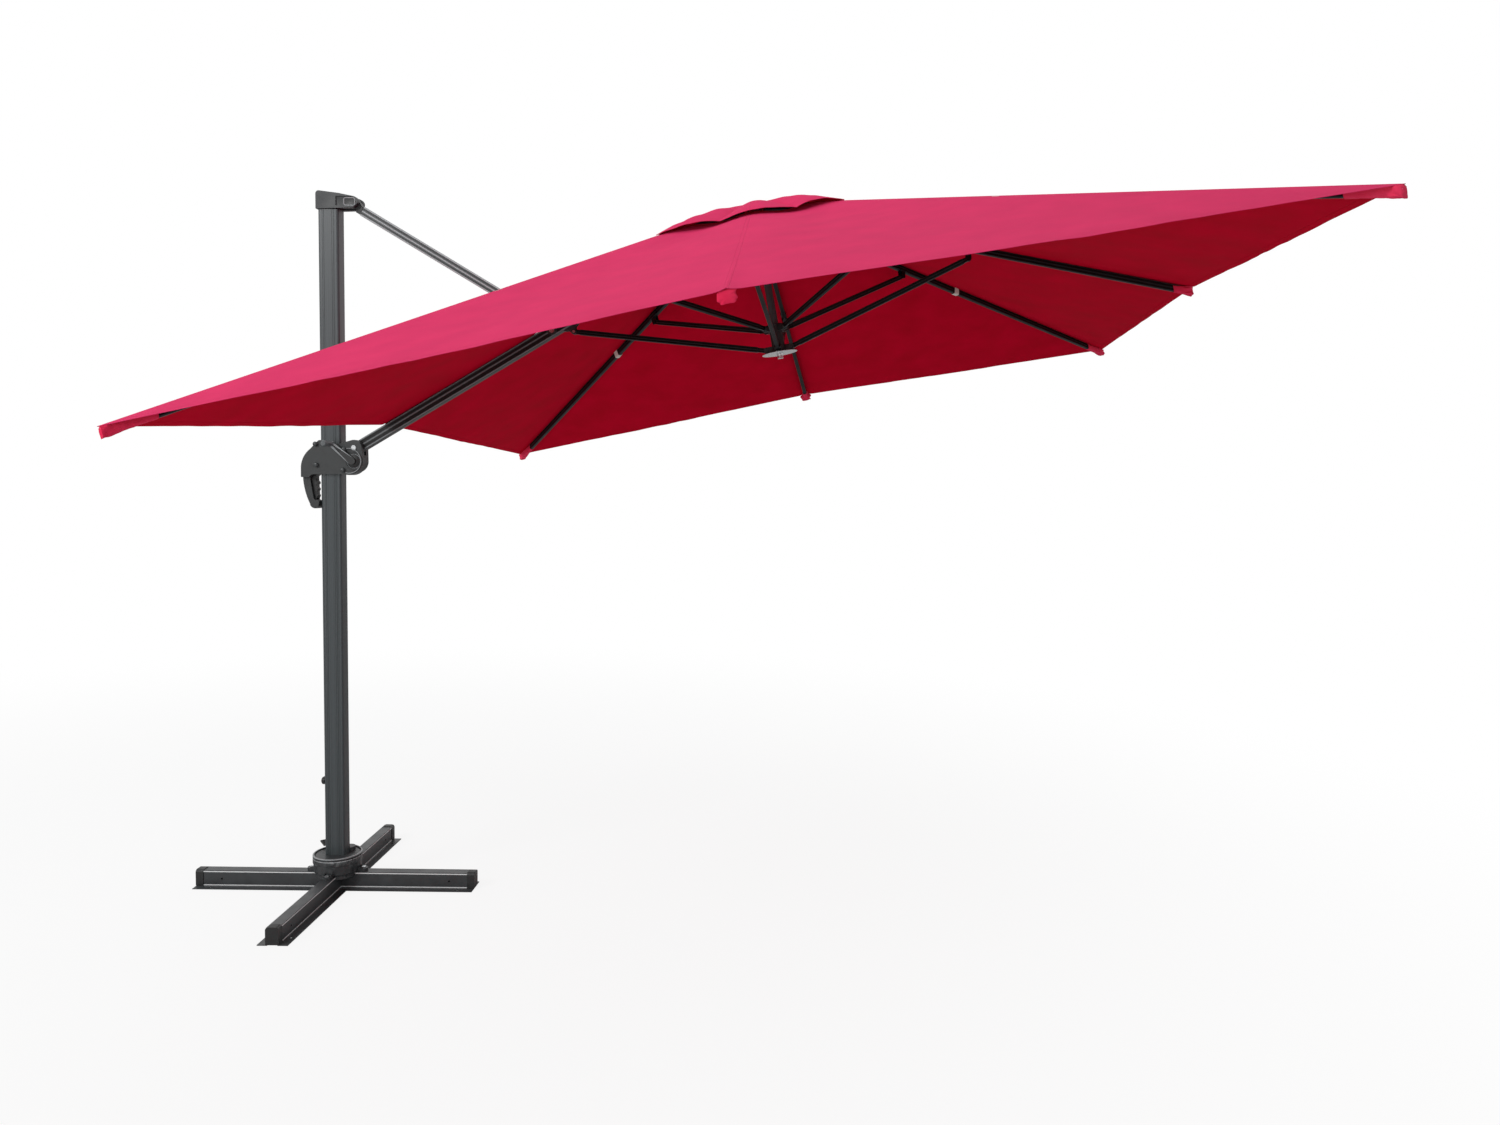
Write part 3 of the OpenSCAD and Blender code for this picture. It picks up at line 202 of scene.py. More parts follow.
def pale_floor():
    mesh = bpy.data.meshes.new("floor")
    bm = bmesh.new()
    bmesh.ops.create_grid(bm, x_segments=1, y_segments=1, size=30)
    bmesh.ops.translate(bm, verts=bm.verts, vec=(1.2, 0, -0.5 * MM))
    bm.to_mesh(mesh)
    bm.free()
    floor = bpy.data.objects.new("floor", mesh)
    bpy.context.collection.objects.link(floor)
    paint = bpy.data.materials.new("pale_floor")
    paint.use_nodes = True
    tree = paint.node_tree
    tree.nodes.clear()
    rays = add_node(tree, "ShaderNodeLightPath")
    where = add_node(tree, "ShaderNodeTexCoord")
    far = add_node(
        tree, "ShaderNodeVectorMath", {0: where.outputs["Object"]}, operation="LENGTH"
    )
    away = add_node(
        tree,
        "ShaderNodeMapRange",
        {
            "Value": far.outputs["Value"],
            "From Min": 1.2,
            "From Max": 6.0,
            "To Min": 0.88,
            "To Max": 1.0,
        },
        interpolation_type="SMOOTHSTEP",
    )
    share = add_node(
        tree,
        "ShaderNodeMath",
        {0: rays.outputs["Is Camera Ray"], 1: away.outputs["Result"]},
        operation="MULTIPLY",
    )
    matt = add_node(tree, "ShaderNodeBsdfDiffuse", {"Color": linear("#E6E6E6")})
    glow = add_node(
        tree, "ShaderNodeEmission", {"Color": linear("#FFFFFF"), "Strength": 1.0}
    )
    mix = add_node(
        tree,
        "ShaderNodeMixShader",
        {0: share.outputs[0], 1: matt.outputs[0], 2: glow.outputs[0]},
    )
    add_node(tree, "ShaderNodeOutputMaterial", {"Surface": mix.outputs[0]})
    mesh.materials.append(paint)


# ---------------------------------------------------------------- materials


def new_material(name):
    made = bpy.data.materials.new(name)
    made.use_nodes = True
    made.node_tree.nodes.clear()
    return made, made.node_tree


def finish_material(tree, color, mottle, rough, relief, **constants):
    """Joins colour and relief to a Principled shader; its roughness follows the mottling."""
    roughness = add_node(
        tree,
        "ShaderNodeMapRange",
        {
            "Value": mottle,
            "From Min": 0.3,
            "From Max": 0.7,
            "To Min": rough[0],
            "To Max": rough[1],
        },
    )
    sockets = {
        "Base Color": color,
        "Roughness": roughness.outputs["Result"],
        "Normal": relief.outputs[0],
    }
    sockets.update({k.replace("_", " "): v for k, v in constants.items()})
    shader = add_node(tree, "ShaderNodeBsdfPrincipled", sockets)
    add_node(tree, "ShaderNodeOutputMaterial", {"Surface": shader.outputs[0]})


def grain(tree, size_mm, detail=3.0, stretch=(1, 1, 1)):
    """Noise over the object, with features of about size_mm."""
    where = add_node(tree, "ShaderNodeTexCoord")
    scaled = add_node(
        tree,
        "ShaderNodeMapping",
        {
            "Vector": where.outputs["Object"],
            "Scale": tuple(k / (size_mm * MM) for k in stretch),
        },
    )
    return add_node(
        tree,
        "ShaderNodeTexNoise",
        {"Vector": scaled.outputs[0], "Scale": 1.0, "Detail": detail},
    ).outputs["Fac"]


def two_tones(tree, mottle, dark, light):
    """Colour that drifts between two tones with the mottling."""
    share = add_node(
        tree, "ShaderNodeMapRange", {"Value": mottle, "From Min": 0.3, "From Max": 0.7}
    )
    return add_node(
        tree,
        "ShaderNodeMix",
        {0: share.outputs["Result"], 6: linear(dark), 7: linear(light)},
        data_type="RGBA",
    ).outputs[2]


def powder_coat(name, dark, light, rough=(0.36, 0.50), orange_peel_mm=1.6, gloss=0.5):
    """Powder coat: an even satin paint with a fine orange peel and faint cloudiness."""
    made, tree = new_material(name)
    cloud = grain(tree, 60)
    peel = grain(tree, orange_peel_mm, 2.0)
    relief = add_node(tree, "ShaderNodeBump", {"Height": peel, "Distance": 0.05 * MM})
    finish_material(
        tree,
        two_tones(tree, cloud, dark, light),
        cloud,
        rough,
        relief,
        IOR=1.5,
        Specular_IOR_Level=gloss,
    )
    return made


def extruded_coat(name, dark, light):
    """Powder coat over an extrusion: die lines run along the tube, with a slight sheen.
    Real die lines are 1 mm apart and too fine to show, so they are drawn 6 mm apart."""
    made, tree = new_material(name)
    lines = grain(tree, 6.0, stretch=(1, 1, 0.002))
    peel = grain(tree, 1.6, 2.0)
    ridge = add_node(
        tree,
        "ShaderNodeBump",
        {"Height": lines, "Distance": 0.08 * MM, "Strength": 0.5},
    )
    relief = add_node(
        tree,
        "ShaderNodeBump",
        {
            "Height": peel,
            "Distance": 0.03 * MM,
            "Strength": 0.6,
            "Normal": ridge.outputs[0],
        },
    )
    finish_material(
        tree, two_tones(tree, lines, dark, light), lines, (0.34, 0.46), relief, IOR=1.5
    )
    return made


def grooved_coat(name, dark, light, painted_groove_shade, painted_lip_highlight, gloss=0.5):
    """Powder coat on a grooved extrusion, with painted shade in its grooves and painted highlights on their lips.
    The lips are 1 mm wide and too fine to show, so their painted highlights are drawn a few times wider."""
    made, tree = new_material(name)
    place = add_node(tree, "ShaderNodeAttribute", attribute_name="bar_place")
    deep = add_node(
        tree, "ShaderNodeSeparateXYZ", {0: place.outputs["Vector"]}
    ).outputs["Z"]
    rows = add_node(
        tree, "ShaderNodeMath", {0: deep, 1: 1.19, 2: 0.5}, operation="MULTIPLY_ADD"
    )
    between = add_node(
        tree, "ShaderNodeMath", {0: rows.outputs[0], 1: 0.5}, operation="PINGPONG"
    ).outputs[0]
    height = add_node(tree, "ShaderNodeMath", {0: deep}, operation="ABSOLUTE")
    on_side = add_node(
        tree, "ShaderNodeMath", {0: height.outputs[0], 1: 0.98}, operation="LESS_THAN"
    ).outputs[0]
    # masks for painted shade in the grooves and painted highlights on their lips, on the bar's sides only
    painted_light_masks = []
    for near, far in ((0.26, 0.16), (0.32, 0.42)):
        edge = add_node(
            tree,
            "ShaderNodeMapRange",
            {"Value": between, "From Min": near, "From Max": far},
        )
        painted_light_masks.append(
            add_node(
                tree,
                "ShaderNodeMath",
                {0: edge.outputs["Result"], 1: on_side},
                operation="MULTIPLY",
            ).outputs[0]
        )
    cloud = grain(tree, 60)
    shade = two_tones(tree, cloud, dark, light)
    for share, tone in zip(painted_light_masks, (painted_groove_shade, painted_lip_highlight)):
        shade = add_node(
            tree,
            "ShaderNodeMix",
            {0: share, 6: shade, 7: linear(tone)},
            data_type="RGBA",
        ).outputs[2]
    peel = grain(tree, 1.6, 2.0)
    relief = add_node(tree, "ShaderNodeBump", {"Height": peel, "Distance": 0.03 * MM})
    finish_material(
        tree,
        shade,
        cloud,
        (0.36, 0.48),
        relief,
        IOR=1.5,
        Specular_IOR_Level=gloss,
    )
    return made


def bent_sheet_coat(name, dark, light, bright, heights, width_mm=3.0):
    """Powder coat on bent sheet, with bands of painted highlight along the bends, at given heights."""
    made, tree = new_material(name)
    where = add_node(tree, "ShaderNodeTexCoord")
    rise = add_node(tree, "ShaderNodeSeparateXYZ", {0: where.outputs["Object"]})
    cloud = grain(tree, 60)
    shade = two_tones(tree, cloud, dark, light)
    # bands of painted highlight at the given heights
    for height in heights:
        bend_highlight_mask = add_node(
            tree,
            "ShaderNodeMath",
            {0: rise.outputs["Z"], 1: height, 2: width_mm / 2 * MM},
            operation="COMPARE",
        )
        shade = add_node(
            tree,
            "ShaderNodeMix",
            {0: bend_highlight_mask.outputs[0], 6: shade, 7: linear(bright)},
            data_type="RGBA",
        ).outputs[2]
    peel = grain(tree, 1.6, 2.0)
    relief = add_node(tree, "ShaderNodeBump", {"Height": peel, "Distance": 0.05 * MM})
    finish_material(tree, shade, cloud, (0.34, 0.48), relief, IOR=1.5)
    return made


def moulded_plastic(name, dark, light, grain_mm=0.9, rough=(0.42, 0.56)):
    """Moulded nylon or polypropylene: a fine spark-eroded grain, a little worn and cloudy."""
    made, tree = new_material(name)
    cloud = grain(tree, 25)
    pits = grain(tree, grain_mm, 2.0)
    relief = add_node(tree, "ShaderNodeBump", {"Height": pits, "Distance": 0.12 * MM})
    finish_material(
        tree, two_tones(tree, cloud, dark, light), cloud, rough, relief, IOR=1.5
    )
    return made


def bare_metal(name, dark, light, rough=(0.22, 0.36)):
    """Zinc-plated or turned metal: bright, with faint turning marks."""
    made, tree = new_material(name)
    marks = grain(tree, 0.8, 2.0)
    shade = two_tones(tree, grain(tree, 8), dark, light)
    relief = add_node(tree, "ShaderNodeBump", {"Height": marks, "Distance": 0.02 * MM})
    finish_material(tree, shade, marks, rough, relief, Metallic=1.0)
    return made


def stitching(tree, place, edge):
    """1 on the sewn threads: inside the hem, along each side rib and beside each corner rib."""
    split = add_node(tree, "ShaderNodeSeparateXYZ", {0: place})
    out = split.outputs["X"]
    beside = add_node(
        tree, "ShaderNodeMath", {0: split.outputs["Y"]}, operation="ABSOLUTE"
    ).outputs[0]
    short = add_node(
        tree, "ShaderNodeMath", {0: out, 1: beside}, operation="SUBTRACT"
    ).outputs[0]
    threads = 0.0
    for measure, row, width_mm in (
        (out, edge - 21 * MM, 1.6),
        (beside, 6 * MM, 1.4),
        (short, 8 * MM, 1.4),
    ):
        off = add_node(
            tree, "ShaderNodeMath", {0: measure, 1: row}, operation="SUBTRACT"
        )
        size = add_node(
            tree, "ShaderNodeMath", {0: off.outputs[0]}, operation="ABSOLUTE"
        )
        line = add_node(
            tree,
            "ShaderNodeMapRange",
            {
                "Value": size.outputs[0],
                "From Min": width_mm * MM,
                "From Max": width_mm * MM * 0.3,
            },
        )
        threads = add_node(
            tree,
            "ShaderNodeMath",
            {0: threads, 1: line.outputs["Result"]},
            operation="MAXIMUM",
        ).outputs[0]
    hem = add_node(
        tree, "ShaderNodeMath", {0: out, 1: edge - 22 * MM}, operation="GREATER_THAN"
    )
    return threads, hem.outputs[0]


def woven_polyester(name, dark, light, thread_mm=2.4, edge=None, gloss=0.10):
    """Solution-dyed polyester: plain weave, matt, a little uneven from the loom.
    Its real threads are 0.4 mm apart, too fine to show, so they are drawn thread_mm apart.
    edge is where the hem ends: a double layer with a row of stitches, and felled seams lie over the ribs."""
    made, tree = new_material(name)
    place = add_node(tree, "ShaderNodeTexCoord").outputs["UV"]
    warp, weft = (
        add_node(
            tree,
            "ShaderNodeTexWave",
            {
                "Vector": place,
                "Scale": math.pi / (10 * thread_mm * MM),
                "Distortion": 0.6,
                "Detail": 1.0,
            },
            bands_direction=way,
        ).outputs["Fac"]
        for way in ("X", "Y")
    )
    weave = add_node(tree, "ShaderNodeMath", {0: warp, 1: weft}, operation="MULTIPLY")
    cloud = grain(tree, 130, 5.0)
    shade = two_tones(tree, cloud, dark, light)
    relief = add_node(
        tree,
        "ShaderNodeBump",
        {"Height": weave.outputs[0], "Distance": 0.22 * MM, "Strength": 0.5},
    )
    if edge:
        threads, hem = stitching(tree, place, edge)
        faint = add_node(
            tree, "ShaderNodeMath", {0: threads, 1: 0.45}, operation="MULTIPLY"
        )
        shade = add_node(
            tree,
            "ShaderNodeMix",
            {0: faint.outputs[0], 6: shade, 7: linear(dark)},
            data_type="RGBA",
        ).outputs[2]
        layers = add_node(
            tree, "ShaderNodeMath", {0: hem, 1: threads}, operation="SUBTRACT"
        )
        relief = add_node(
            tree,
            "ShaderNodeBump",
            {
                "Height": layers.outputs[0],
                "Distance": 0.9 * MM,
                "Strength": 0.8,
                "Normal": relief.outputs[0],
            },
        )
    finish_material(
        tree,
        shade,
        cloud,
        (0.82, 0.92),
        relief,
        IOR=1.45,
        Specular_IOR_Level=gloss,
    )
    return made


slate_tube = extruded_coat("slate_powder_coat_on_extrusion", "#303638", "#3D4447")
# The last two colours of each grooved coat are painted shade for its grooves and a painted highlight for their
# lips.
strut_coat = grooved_coat(
    "slate_powder_coat_on_strut", "#454A4C", "#515759", "#14171A", "#A4AAAC"
)
boom_coat = grooved_coat(
    "black_powder_coat_on_boom", "#17191A", "#202223", "#040404", "#75797B", 0.3
)
rib_coat = grooved_coat(
    "black_powder_coat_on_rib", "#060607", "#0B0C0C", "#020202", "#303336", 0.15
)
dark_tube = powder_coat(
    "black_powder_coat_on_extrusion", "#080809", "#0E0F10", gloss=0.2
)
foot_coat = powder_coat("anthracite_powder_coat_on_steel", "#26282A", "#323537")
leg_top = max(v.co.z for v in frame["nodes"]["leg_x"].data.vertices)
ring_top = max(v.co.z for v in frame["nodes"]["turning_ring"].data.vertices)
# The third colour of each bent sheet coat is a painted highlight: along the legs' bends, and in two lines round
# the ring's rim.
leg_coat = bent_sheet_coat(
    "anthracite_powder_coat_on_legs",
    "#2C2E30",
    "#383B3D",
    "#DCDEDF",
    (5.5 * MM, leg_top - 5 * MM),
    4.0,
)
ring_coat = bent_sheet_coat(
    "anthracite_powder_coat_on_ring",
    "#26282A",
    "#323537",
    "#8E9294",
    (ring_top - 1.5 * MM, ring_top - 12 * MM),
)
cap_casting = powder_coat(
    "slate_powder_coat_on_casting", "#1A1D1F", "#272B2D", (0.42, 0.58), 4.0
)
black_plastic = moulded_plastic("black_polypropylene", "#0D0E0F", "#151617")
grey_nylon = moulded_plastic("dark_glass_filled_nylon", "#1C1E1F", "#292C2D", 1.2)
crank_paint = powder_coat("grey_powder_coat_on_crank", "#8E9396", "#A6ABAE", (0.28, 0.4))
bolt_caps = moulded_plastic("black_bolt_caps", "#282B2D", "#363A3C", rough=(0.2, 0.28))
# The light grey of this edge, on the cap window's rim and the carriage's boss bezel, is a painted highlight on
# those raised edges.
painted_highlight_edge = moulded_plastic("nylon_edge_painted_highlight", "#83878A", "#9A9EA0")
black_bolt = bare_metal("blackened_steel", "#3C3F41", "#54585A", (0.3, 0.42))
grip_plastic = moulded_plastic("grey_grip_plastic", "#4A4E50", "#5E6365")
pale_plastic = moulded_plastic("natural_acetal", "#C9C8C0", "#D8D7D0")
plated_steel = bare_metal("zinc_plated_steel", "#A9ACAE", "#D2D4D5")
rolled_rim = bare_metal("turned_aluminium", "#B4B7B9", "#DADCDD", (0.2, 0.3))
# Top and underside are one cloth in two tones: the top's lighter pink is painted light, and the underside's deeper
# red is painted shade with painted light shining through the cloth.
cover_lit_top = woven_polyester(
    "woven_polyester_cover_lit_top", "#D43464", "#DE3A6A", edge=HALF, gloss=0.06
)
cover_shaded_under = woven_polyester(
    "woven_polyester_underside_painted_shade", "#B80222", "#C8042A", edge=HALF, gloss=0.03
)
pocket_cloth = woven_polyester("woven_polyester_pocket", "#D8244C", "#EA3E62")

FINISH = {
    "foot_paint": foot_coat,
    "mast_paint": slate_tube,
    "black_plastic": black_plastic,
    "dark_plastic": grey_nylon,
    "liner_plastic": pale_plastic,
    "steel": plated_steel,
    "aluminium": rolled_rim,
    "frame_paint": dark_tube,
    "cover_fabric": cover_lit_top,
}
slot_of = {
    part["node"]: part["material_slot"] for part in frame["record"]["subparts"]
}


def dress(obj, finish):
    obj.data.materials.clear()
    obj.data.materials.append(finish)


def dress_cad_nodes():
    for name, obj in frame["nodes"].items():
        dress(obj, FINISH[slot_of[name]])
    dress(frame["nodes"]["mast_cap"], cap_casting)
    dress(frame["nodes"]["crank_grip"], grip_plastic)
    dress(frame["nodes"]["cap_pin"], black_bolt)


# ---------------------------------------------------------------- eased copies of hard nodes

SHARP = 32  # degrees


def keep_mesh(name, bm, finish, smooth_to=SHARP):
    """A piece from a finished bmesh, shaded smooth up to an angle in degrees."""
    mesh = bpy.data.meshes.new(name)
    bm.to_mesh(mesh)
    bm.free()
    for polygon in mesh.polygons:
        polygon.use_smooth = True
    mesh.set_sharp_from_angle(angle=math.radians(smooth_to))
    mesh.materials.append(finish)
    obj = bpy.data.objects.new(name, mesh)
    bpy.context.collection.objects.link(obj)
    return obj


def ease(obj, width_mm):
    """Rounds every sharp edge, so that it catches the light."""
    edge = obj.modifiers.new("eased_edges", "BEVEL")
    edge.width = width_mm * MM
    edge.segments = 2
    edge.limit_method = "ANGLE"
    edge.angle_limit = math.radians(SHARP)
    edge.profile = 0.5
    edge.use_clamp_overlap = True
    edge.harden_normals = True


def mark_bar(mesh, up):
    """Stores each point's place on a straight bar, in shares of its half length, width and depth."""
    points = np.array([v.co for v in mesh.vertices])
    ends = np.array([edge.vertices for edge in mesh.edges])
    spans = points[ends[:, 1]] - points[ends[:, 0]]
    lengths = np.linalg.norm(spans, axis=1)
    along = spans[lengths.argmax()] / lengths.max()
    across = np.cross(up, along)
    across /= np.linalg.norm(across)
    rows = points @ np.column_stack((along, across, np.cross(along, across)))
    rim = rows[np.unique(ends[lengths > 0.5 * lengths.max()])]
    low, high = rim.min(axis=0), rim.max(axis=0)
    place = (rows - (low + high) / 2) / ((high - low) / 2)
    layer = mesh.attributes.new("bar_place", "FLOAT_VECTOR", "POINT")
    layer.data.foreach_set("vector", place.astype(np.float32).ravel())


def eased_node(node, width_mm, finish, up=None):
    """A copy of a CAD node with its edges rounded, which stands for that node."""
    bm = bmesh.new()
    bm.from_mesh(frame["nodes"][node].data)
    bmesh.ops.remove_doubles(bm, verts=bm.verts, dist=0.02 * MM)
    bmesh.ops.dissolve_limit(
        bm, angle_limit=math.radians(0.7), verts=bm.verts, edges=bm.edges
    )
    obj = keep_mesh(f"{node}_eased", bm, finish)
    if up is not None:
        mark_bar(obj.data, up)
    ease(obj, width_mm)
    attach(obj, body_of[node])
    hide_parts(node)
    return obj


def ease_hard_nodes():
    for node, width, finish in (
        ("leg_x", 1.2, leg_coat),
        ("leg_y", 1.2, leg_coat),
        ("leg_end_caps", 2.0, black_plastic),
        ("turning_ring", 2.0, ring_coat),
        ("turntable", 1.2, foot_coat),
        ("foot_pedal", 1.5, black_plastic),
        ("mast_tube", 1.4, slate_tube),
        ("mast_cap", 2.2, cap_casting),
        ("strut_ends", 1.5, grey_nylon),
        ("boom_fittings", 1.2, grey_nylon),
        ("carriage_front", 1.8, grey_nylon),
        ("carriage_back", 1.8, grey_nylon),
        ("trigger", 1.4, black_plastic),
        ("crank_grip", 1.2, grip_plastic),
        ("top_hub", 1.0, black_plastic),
        ("lower_hub", 1.0, black_plastic),
        ("hub_disc", 1.0, rolled_rim),
    ):
        eased_node(node, width, finish)
    eased_node("strut_tube", 1.2, strut_coat, up=Vector((0, 0, 1)))
    eased_node("boom_tube", 1.2, boom_coat, up=Vector((0, 0, 1)))
    for turn in SIDE_TURNS + CORNER_TURNS:
        eased_node(f"stretcher_{turn}", 0.8, rib_coat, up=canopy_z)
        if turn != 180:
            eased_node(f"rib_{turn}", 0.8, rib_coat, up=canopy_z)


def paint_crank():
    """The crank's arm is painted grey and its round hub is black."""
    crank = eased_node("crank_arm", 1.6, crank_paint)
    crank.data.materials.append(black_plastic)
    axle = Vector(joints["crank_turn"]["pos_m"])
    for polygon in crank.data.polygons:
        off = polygon.center - axle
        if math.hypot(off.x, off.z) < 26 * MM:
            polygon.material_index = 1


def round_along(bm, axis, radius, segments):
    """Rounds the edges of a block that run along an axis, given as 0, 1 or 2."""
    edges = [
        e
        for e in bm.edges
        if abs((e.verts[0].co - e.verts[1].co).normalized()[axis]) > 0.9
        and not e.is_boundary
    ]
    bmesh.ops.bevel(
        bm,
        geom=edges,
        offset=radius,
        segments=segments,
        profile=0.5,
        affect="EDGES",
        material=-1,
    )


def cap_window():
    """Recessed window with a rounded rim beside the strut's pin, on both cheeks of the mast's cap."""
    pin = Vector(joints["arm_tilt"]["pos_m"])
    cap = [v.co for v in frame["nodes"]["mast_cap"].data.vertices]
    near = [p.y for p in cap if math.hypot(p.x - pin.x, p.z - pin.z) < 40 * MM]
    for word, side in (("front", -1), ("back", 1)):
        face = max(side * y for y in near)
        bm = bmesh.new()
        bmesh.ops.create_cube(bm, size=1)
        bmesh.ops.scale(bm, vec=(44 * MM, 2 * MM, 30 * MM), verts=bm.verts)
        round_along(bm, 1, 9 * MM, 6)
        outer = [f for f in bm.faces if f.normal.y * side > 0.9]
        bmesh.ops.inset_region(bm, faces=outer, thickness=3 * MM, depth=-1.2 * MM)
        for f in outer:
            f.material_index = 1
        bmesh.ops.translate(
            bm, vec=(pin.x - 12 * MM, side * face, pin.z - 2 * MM), verts=bm.verts
        )
        # the rim takes the painted highlight grey, the recessed window black
        window = keep_mesh(f"cap_window_{word}", bm, painted_highlight_edge)
        window.data.materials.append(black_plastic)
        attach(window, body_of["mast_cap"])


def boss_bezel():
    """Raised line that follows the carriage's round boss, just inside its edge."""
    shell = [v.co for v in frame["nodes"]["carriage_front"].data.vertices]
    far = max(p.x for p in shell)
    level = [p.z for p in shell if p.x > far - 1 * MM]
    boss_r = 52 * MM
    middle = Vector((far - boss_r, 0, (min(level) + max(level)) / 2))
    on_boss = [p.y for p in shell if (Vector((p.x, 0, p.z)) - middle).length < boss_r]
    ring_r, wire_r, steps = boss_r - 6 * MM, 1.3 * MM, 48
    start, stop = math.radians(-105), math.radians(100)
    bm = bmesh.new()
    bmesh.ops.create_circle(
        bm,
        segments=10,
        radius=wire_r,
        cap_ends=True,
        matrix=Matrix.Translation((ring_r, 0, 0)) @ Matrix.Rotation(math.pi, 4, "X"),
    )
    bmesh.ops.rotate(
        bm, verts=bm.verts, cent=(0, 0, 0), matrix=Matrix.Rotation(-start, 3, "Y")
    )
    bmesh.ops.spin(
        bm,
        geom=bm.verts[:] + bm.edges[:] + bm.faces[:],
        cent=(0, 0, 0),
        axis=(0, -1, 0),
        angle=stop - start,
        steps=steps,
    )
    bmesh.ops.remove_doubles(bm, verts=bm.verts, dist=0.01 * MM)
    bmesh.ops.recalc_face_normals(bm, faces=bm.faces)
    bmesh.ops.translate(bm, vec=middle + Vector((0, min(on_boss), 0)), verts=bm.verts)
    # the bezel is drawn in the painted highlight grey
    bezel = keep_mesh("boss_bezel", bm, painted_highlight_edge)
    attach(bezel, body_of["carriage_front"])


def cap_bolts():
    """Black domes over the heads of the shell bolts, on both sides of the carriage."""
    ends = [v.co for v in frame["nodes"]["carriage_bolts"].data.vertices]
    places = []
    for p in ends:
        if all(math.hypot(p.x - q.x, p.z - q.z) > 20 * MM for q in places):
            places.append(p)
    front = min(v.co.y for v in frame["nodes"]["carriage_front"].data.vertices)
    back = max(v.co.y for v in frame["nodes"]["carriage_back"].data.vertices)
    for k, near in enumerate(places):
        own = [p for p in ends if math.hypot(p.x - near.x, p.z - near.z) < 20 * MM]
        x = (min(p.x for p in own) + max(p.x for p in own)) / 2
        z = (min(p.z for p in own) + max(p.z for p in own)) / 2
        for word, y in (("front", min(p.y for p in own)), ("back", max(p.y for p in own))):
            bm = bmesh.new()
            bmesh.ops.create_uvsphere(bm, u_segments=28, v_segments=16, radius=1)
            bmesh.ops.scale(bm, vec=(9 * MM, 5.5 * MM, 9 * MM), verts=bm.verts)
            level = max(y, front - 1 * MM) if word == "front" else min(y, back + 1 * MM)
            bmesh.ops.translate(bm, vec=(x, level, z), verts=bm.verts)
            dome = keep_mesh(f"bolt_cap_{k}_{word}", bm, bolt_caps)
            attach(dome, body_of["carriage_bolts"])


# ---------------------------------------------------------------- canopy's cloth

CLOTH = {turn: cloth_plane(turn, VENT, HALF) for turn in SIDE_TURNS}
COVERS = {turn: cloth_plane(turn, COVER_EYE, COVER) for turn in SIDE_TURNS}


def rib_body(turn):
    return "boom" if turn == 180 else f"rib_{turn}"


def ruffle(spot, size, seed):
    """Smooth noise between -1 and 1 at a place in the canopy's frame."""
    return noise.noise(Vector((spot.x / size, spot.y / size, seed)))


def cloth_height(side, x, s):
    """Height of the taut cover at distance x out and share s from the side rib to the corner rib."""
    top, fall, cross = CLOTH[side]
    y = s * x
    between = math.sin(math.pi * s) ** 2
    spread_out = x / HALF
    sag = 14 * MM * between * math.sin(math.pi * min(1.0, 0.25 + 0.62 * spread_out))
    spot = turned(side) @ Vector((x, y, 0))
    near_edge = max(0.0, spread_out - 0.72) / 0.28
    folds = 1.6 * MM * between * ruffle(spot, 0.21, 3.0)
    folds += 2.2 * MM * between * near_edge * ruffle(spot, 0.07, 8.0)
    pucker = 5 * MM * near_edge * math.exp(-((y / 0.016) ** 2))
    return top + fall * x + cross * abs(y) - sag + folds + pucker


def cover_height(side, x, s):
    """Height of the vent cover: tacked down twice a side, with flaps that billow and turn down."""
    top, fall, cross = COVERS[side]
    out = x / COVER
    flat = top + fall * x + cross * abs(s) * x
    below_top, below_fall, below_cross = CLOTH[side]
    edge_base = below_top + below_fall * COVER + below_cross * abs(s) * COVER
    flat_edge = top + fall * COVER + cross * abs(s) * COVER
    along = (s + 1) / 2
    tab = max(k for k in range(3) if along >= COVER_TABS[k])
    lobe_share = (along - COVER_TABS[tab]) / (COVER_TABS[tab + 1] - COVER_TABS[tab])
    lobe = abs(math.sin(math.pi * lobe_share)) ** 0.8
    spot = turned(side) @ Vector((x, s * x, 0))
    lift = 27 * MM * lobe * (1 + 0.25 * ruffle(spot, 0.09, 5.0))
    crown = math.sin(0.82 * math.pi * out**1.6)
    crumple = 3 * MM * out**2 * lobe * ruffle(spot, 0.045, 9.0)
    return flat + out**2 * (edge_base + 2.6 * MM - flat_edge) + lift * crown + crumple


def hem_pull(x, s):
    """How far the cover's edge is drawn in between its tips."""
    return x * (1 - 0.005 * math.sin(math.pi * s) ** 1.5 * (x / HALF) ** 3)


def slit_edge(x):
    """Half width of the slit for the strut, at distance x out along the boom."""
    lo, hi = SLIT
    if not lo < x < hi:
        return 0.0
    return SLIT_HALF * math.sin(math.pi * (x - lo) / (hi - lo)) ** 0.5


def read_slit():
    """Ends and half width of the slit, from the share of the cover above the boom."""
    back = turned(180).inverted()
    points = [back @ v.co for v in frame["nodes"]["fabric_180"].data.vertices]
    inner = [p for p in points if 0.3 < p.x < HALF - 0.1 and abs(p.y) < 0.06]
    xs = [p.x for p in inner]
    return (min(xs), max(xs)), max(abs(p.y) for p in inner)


SLIT, SLIT_HALF = read_slit()


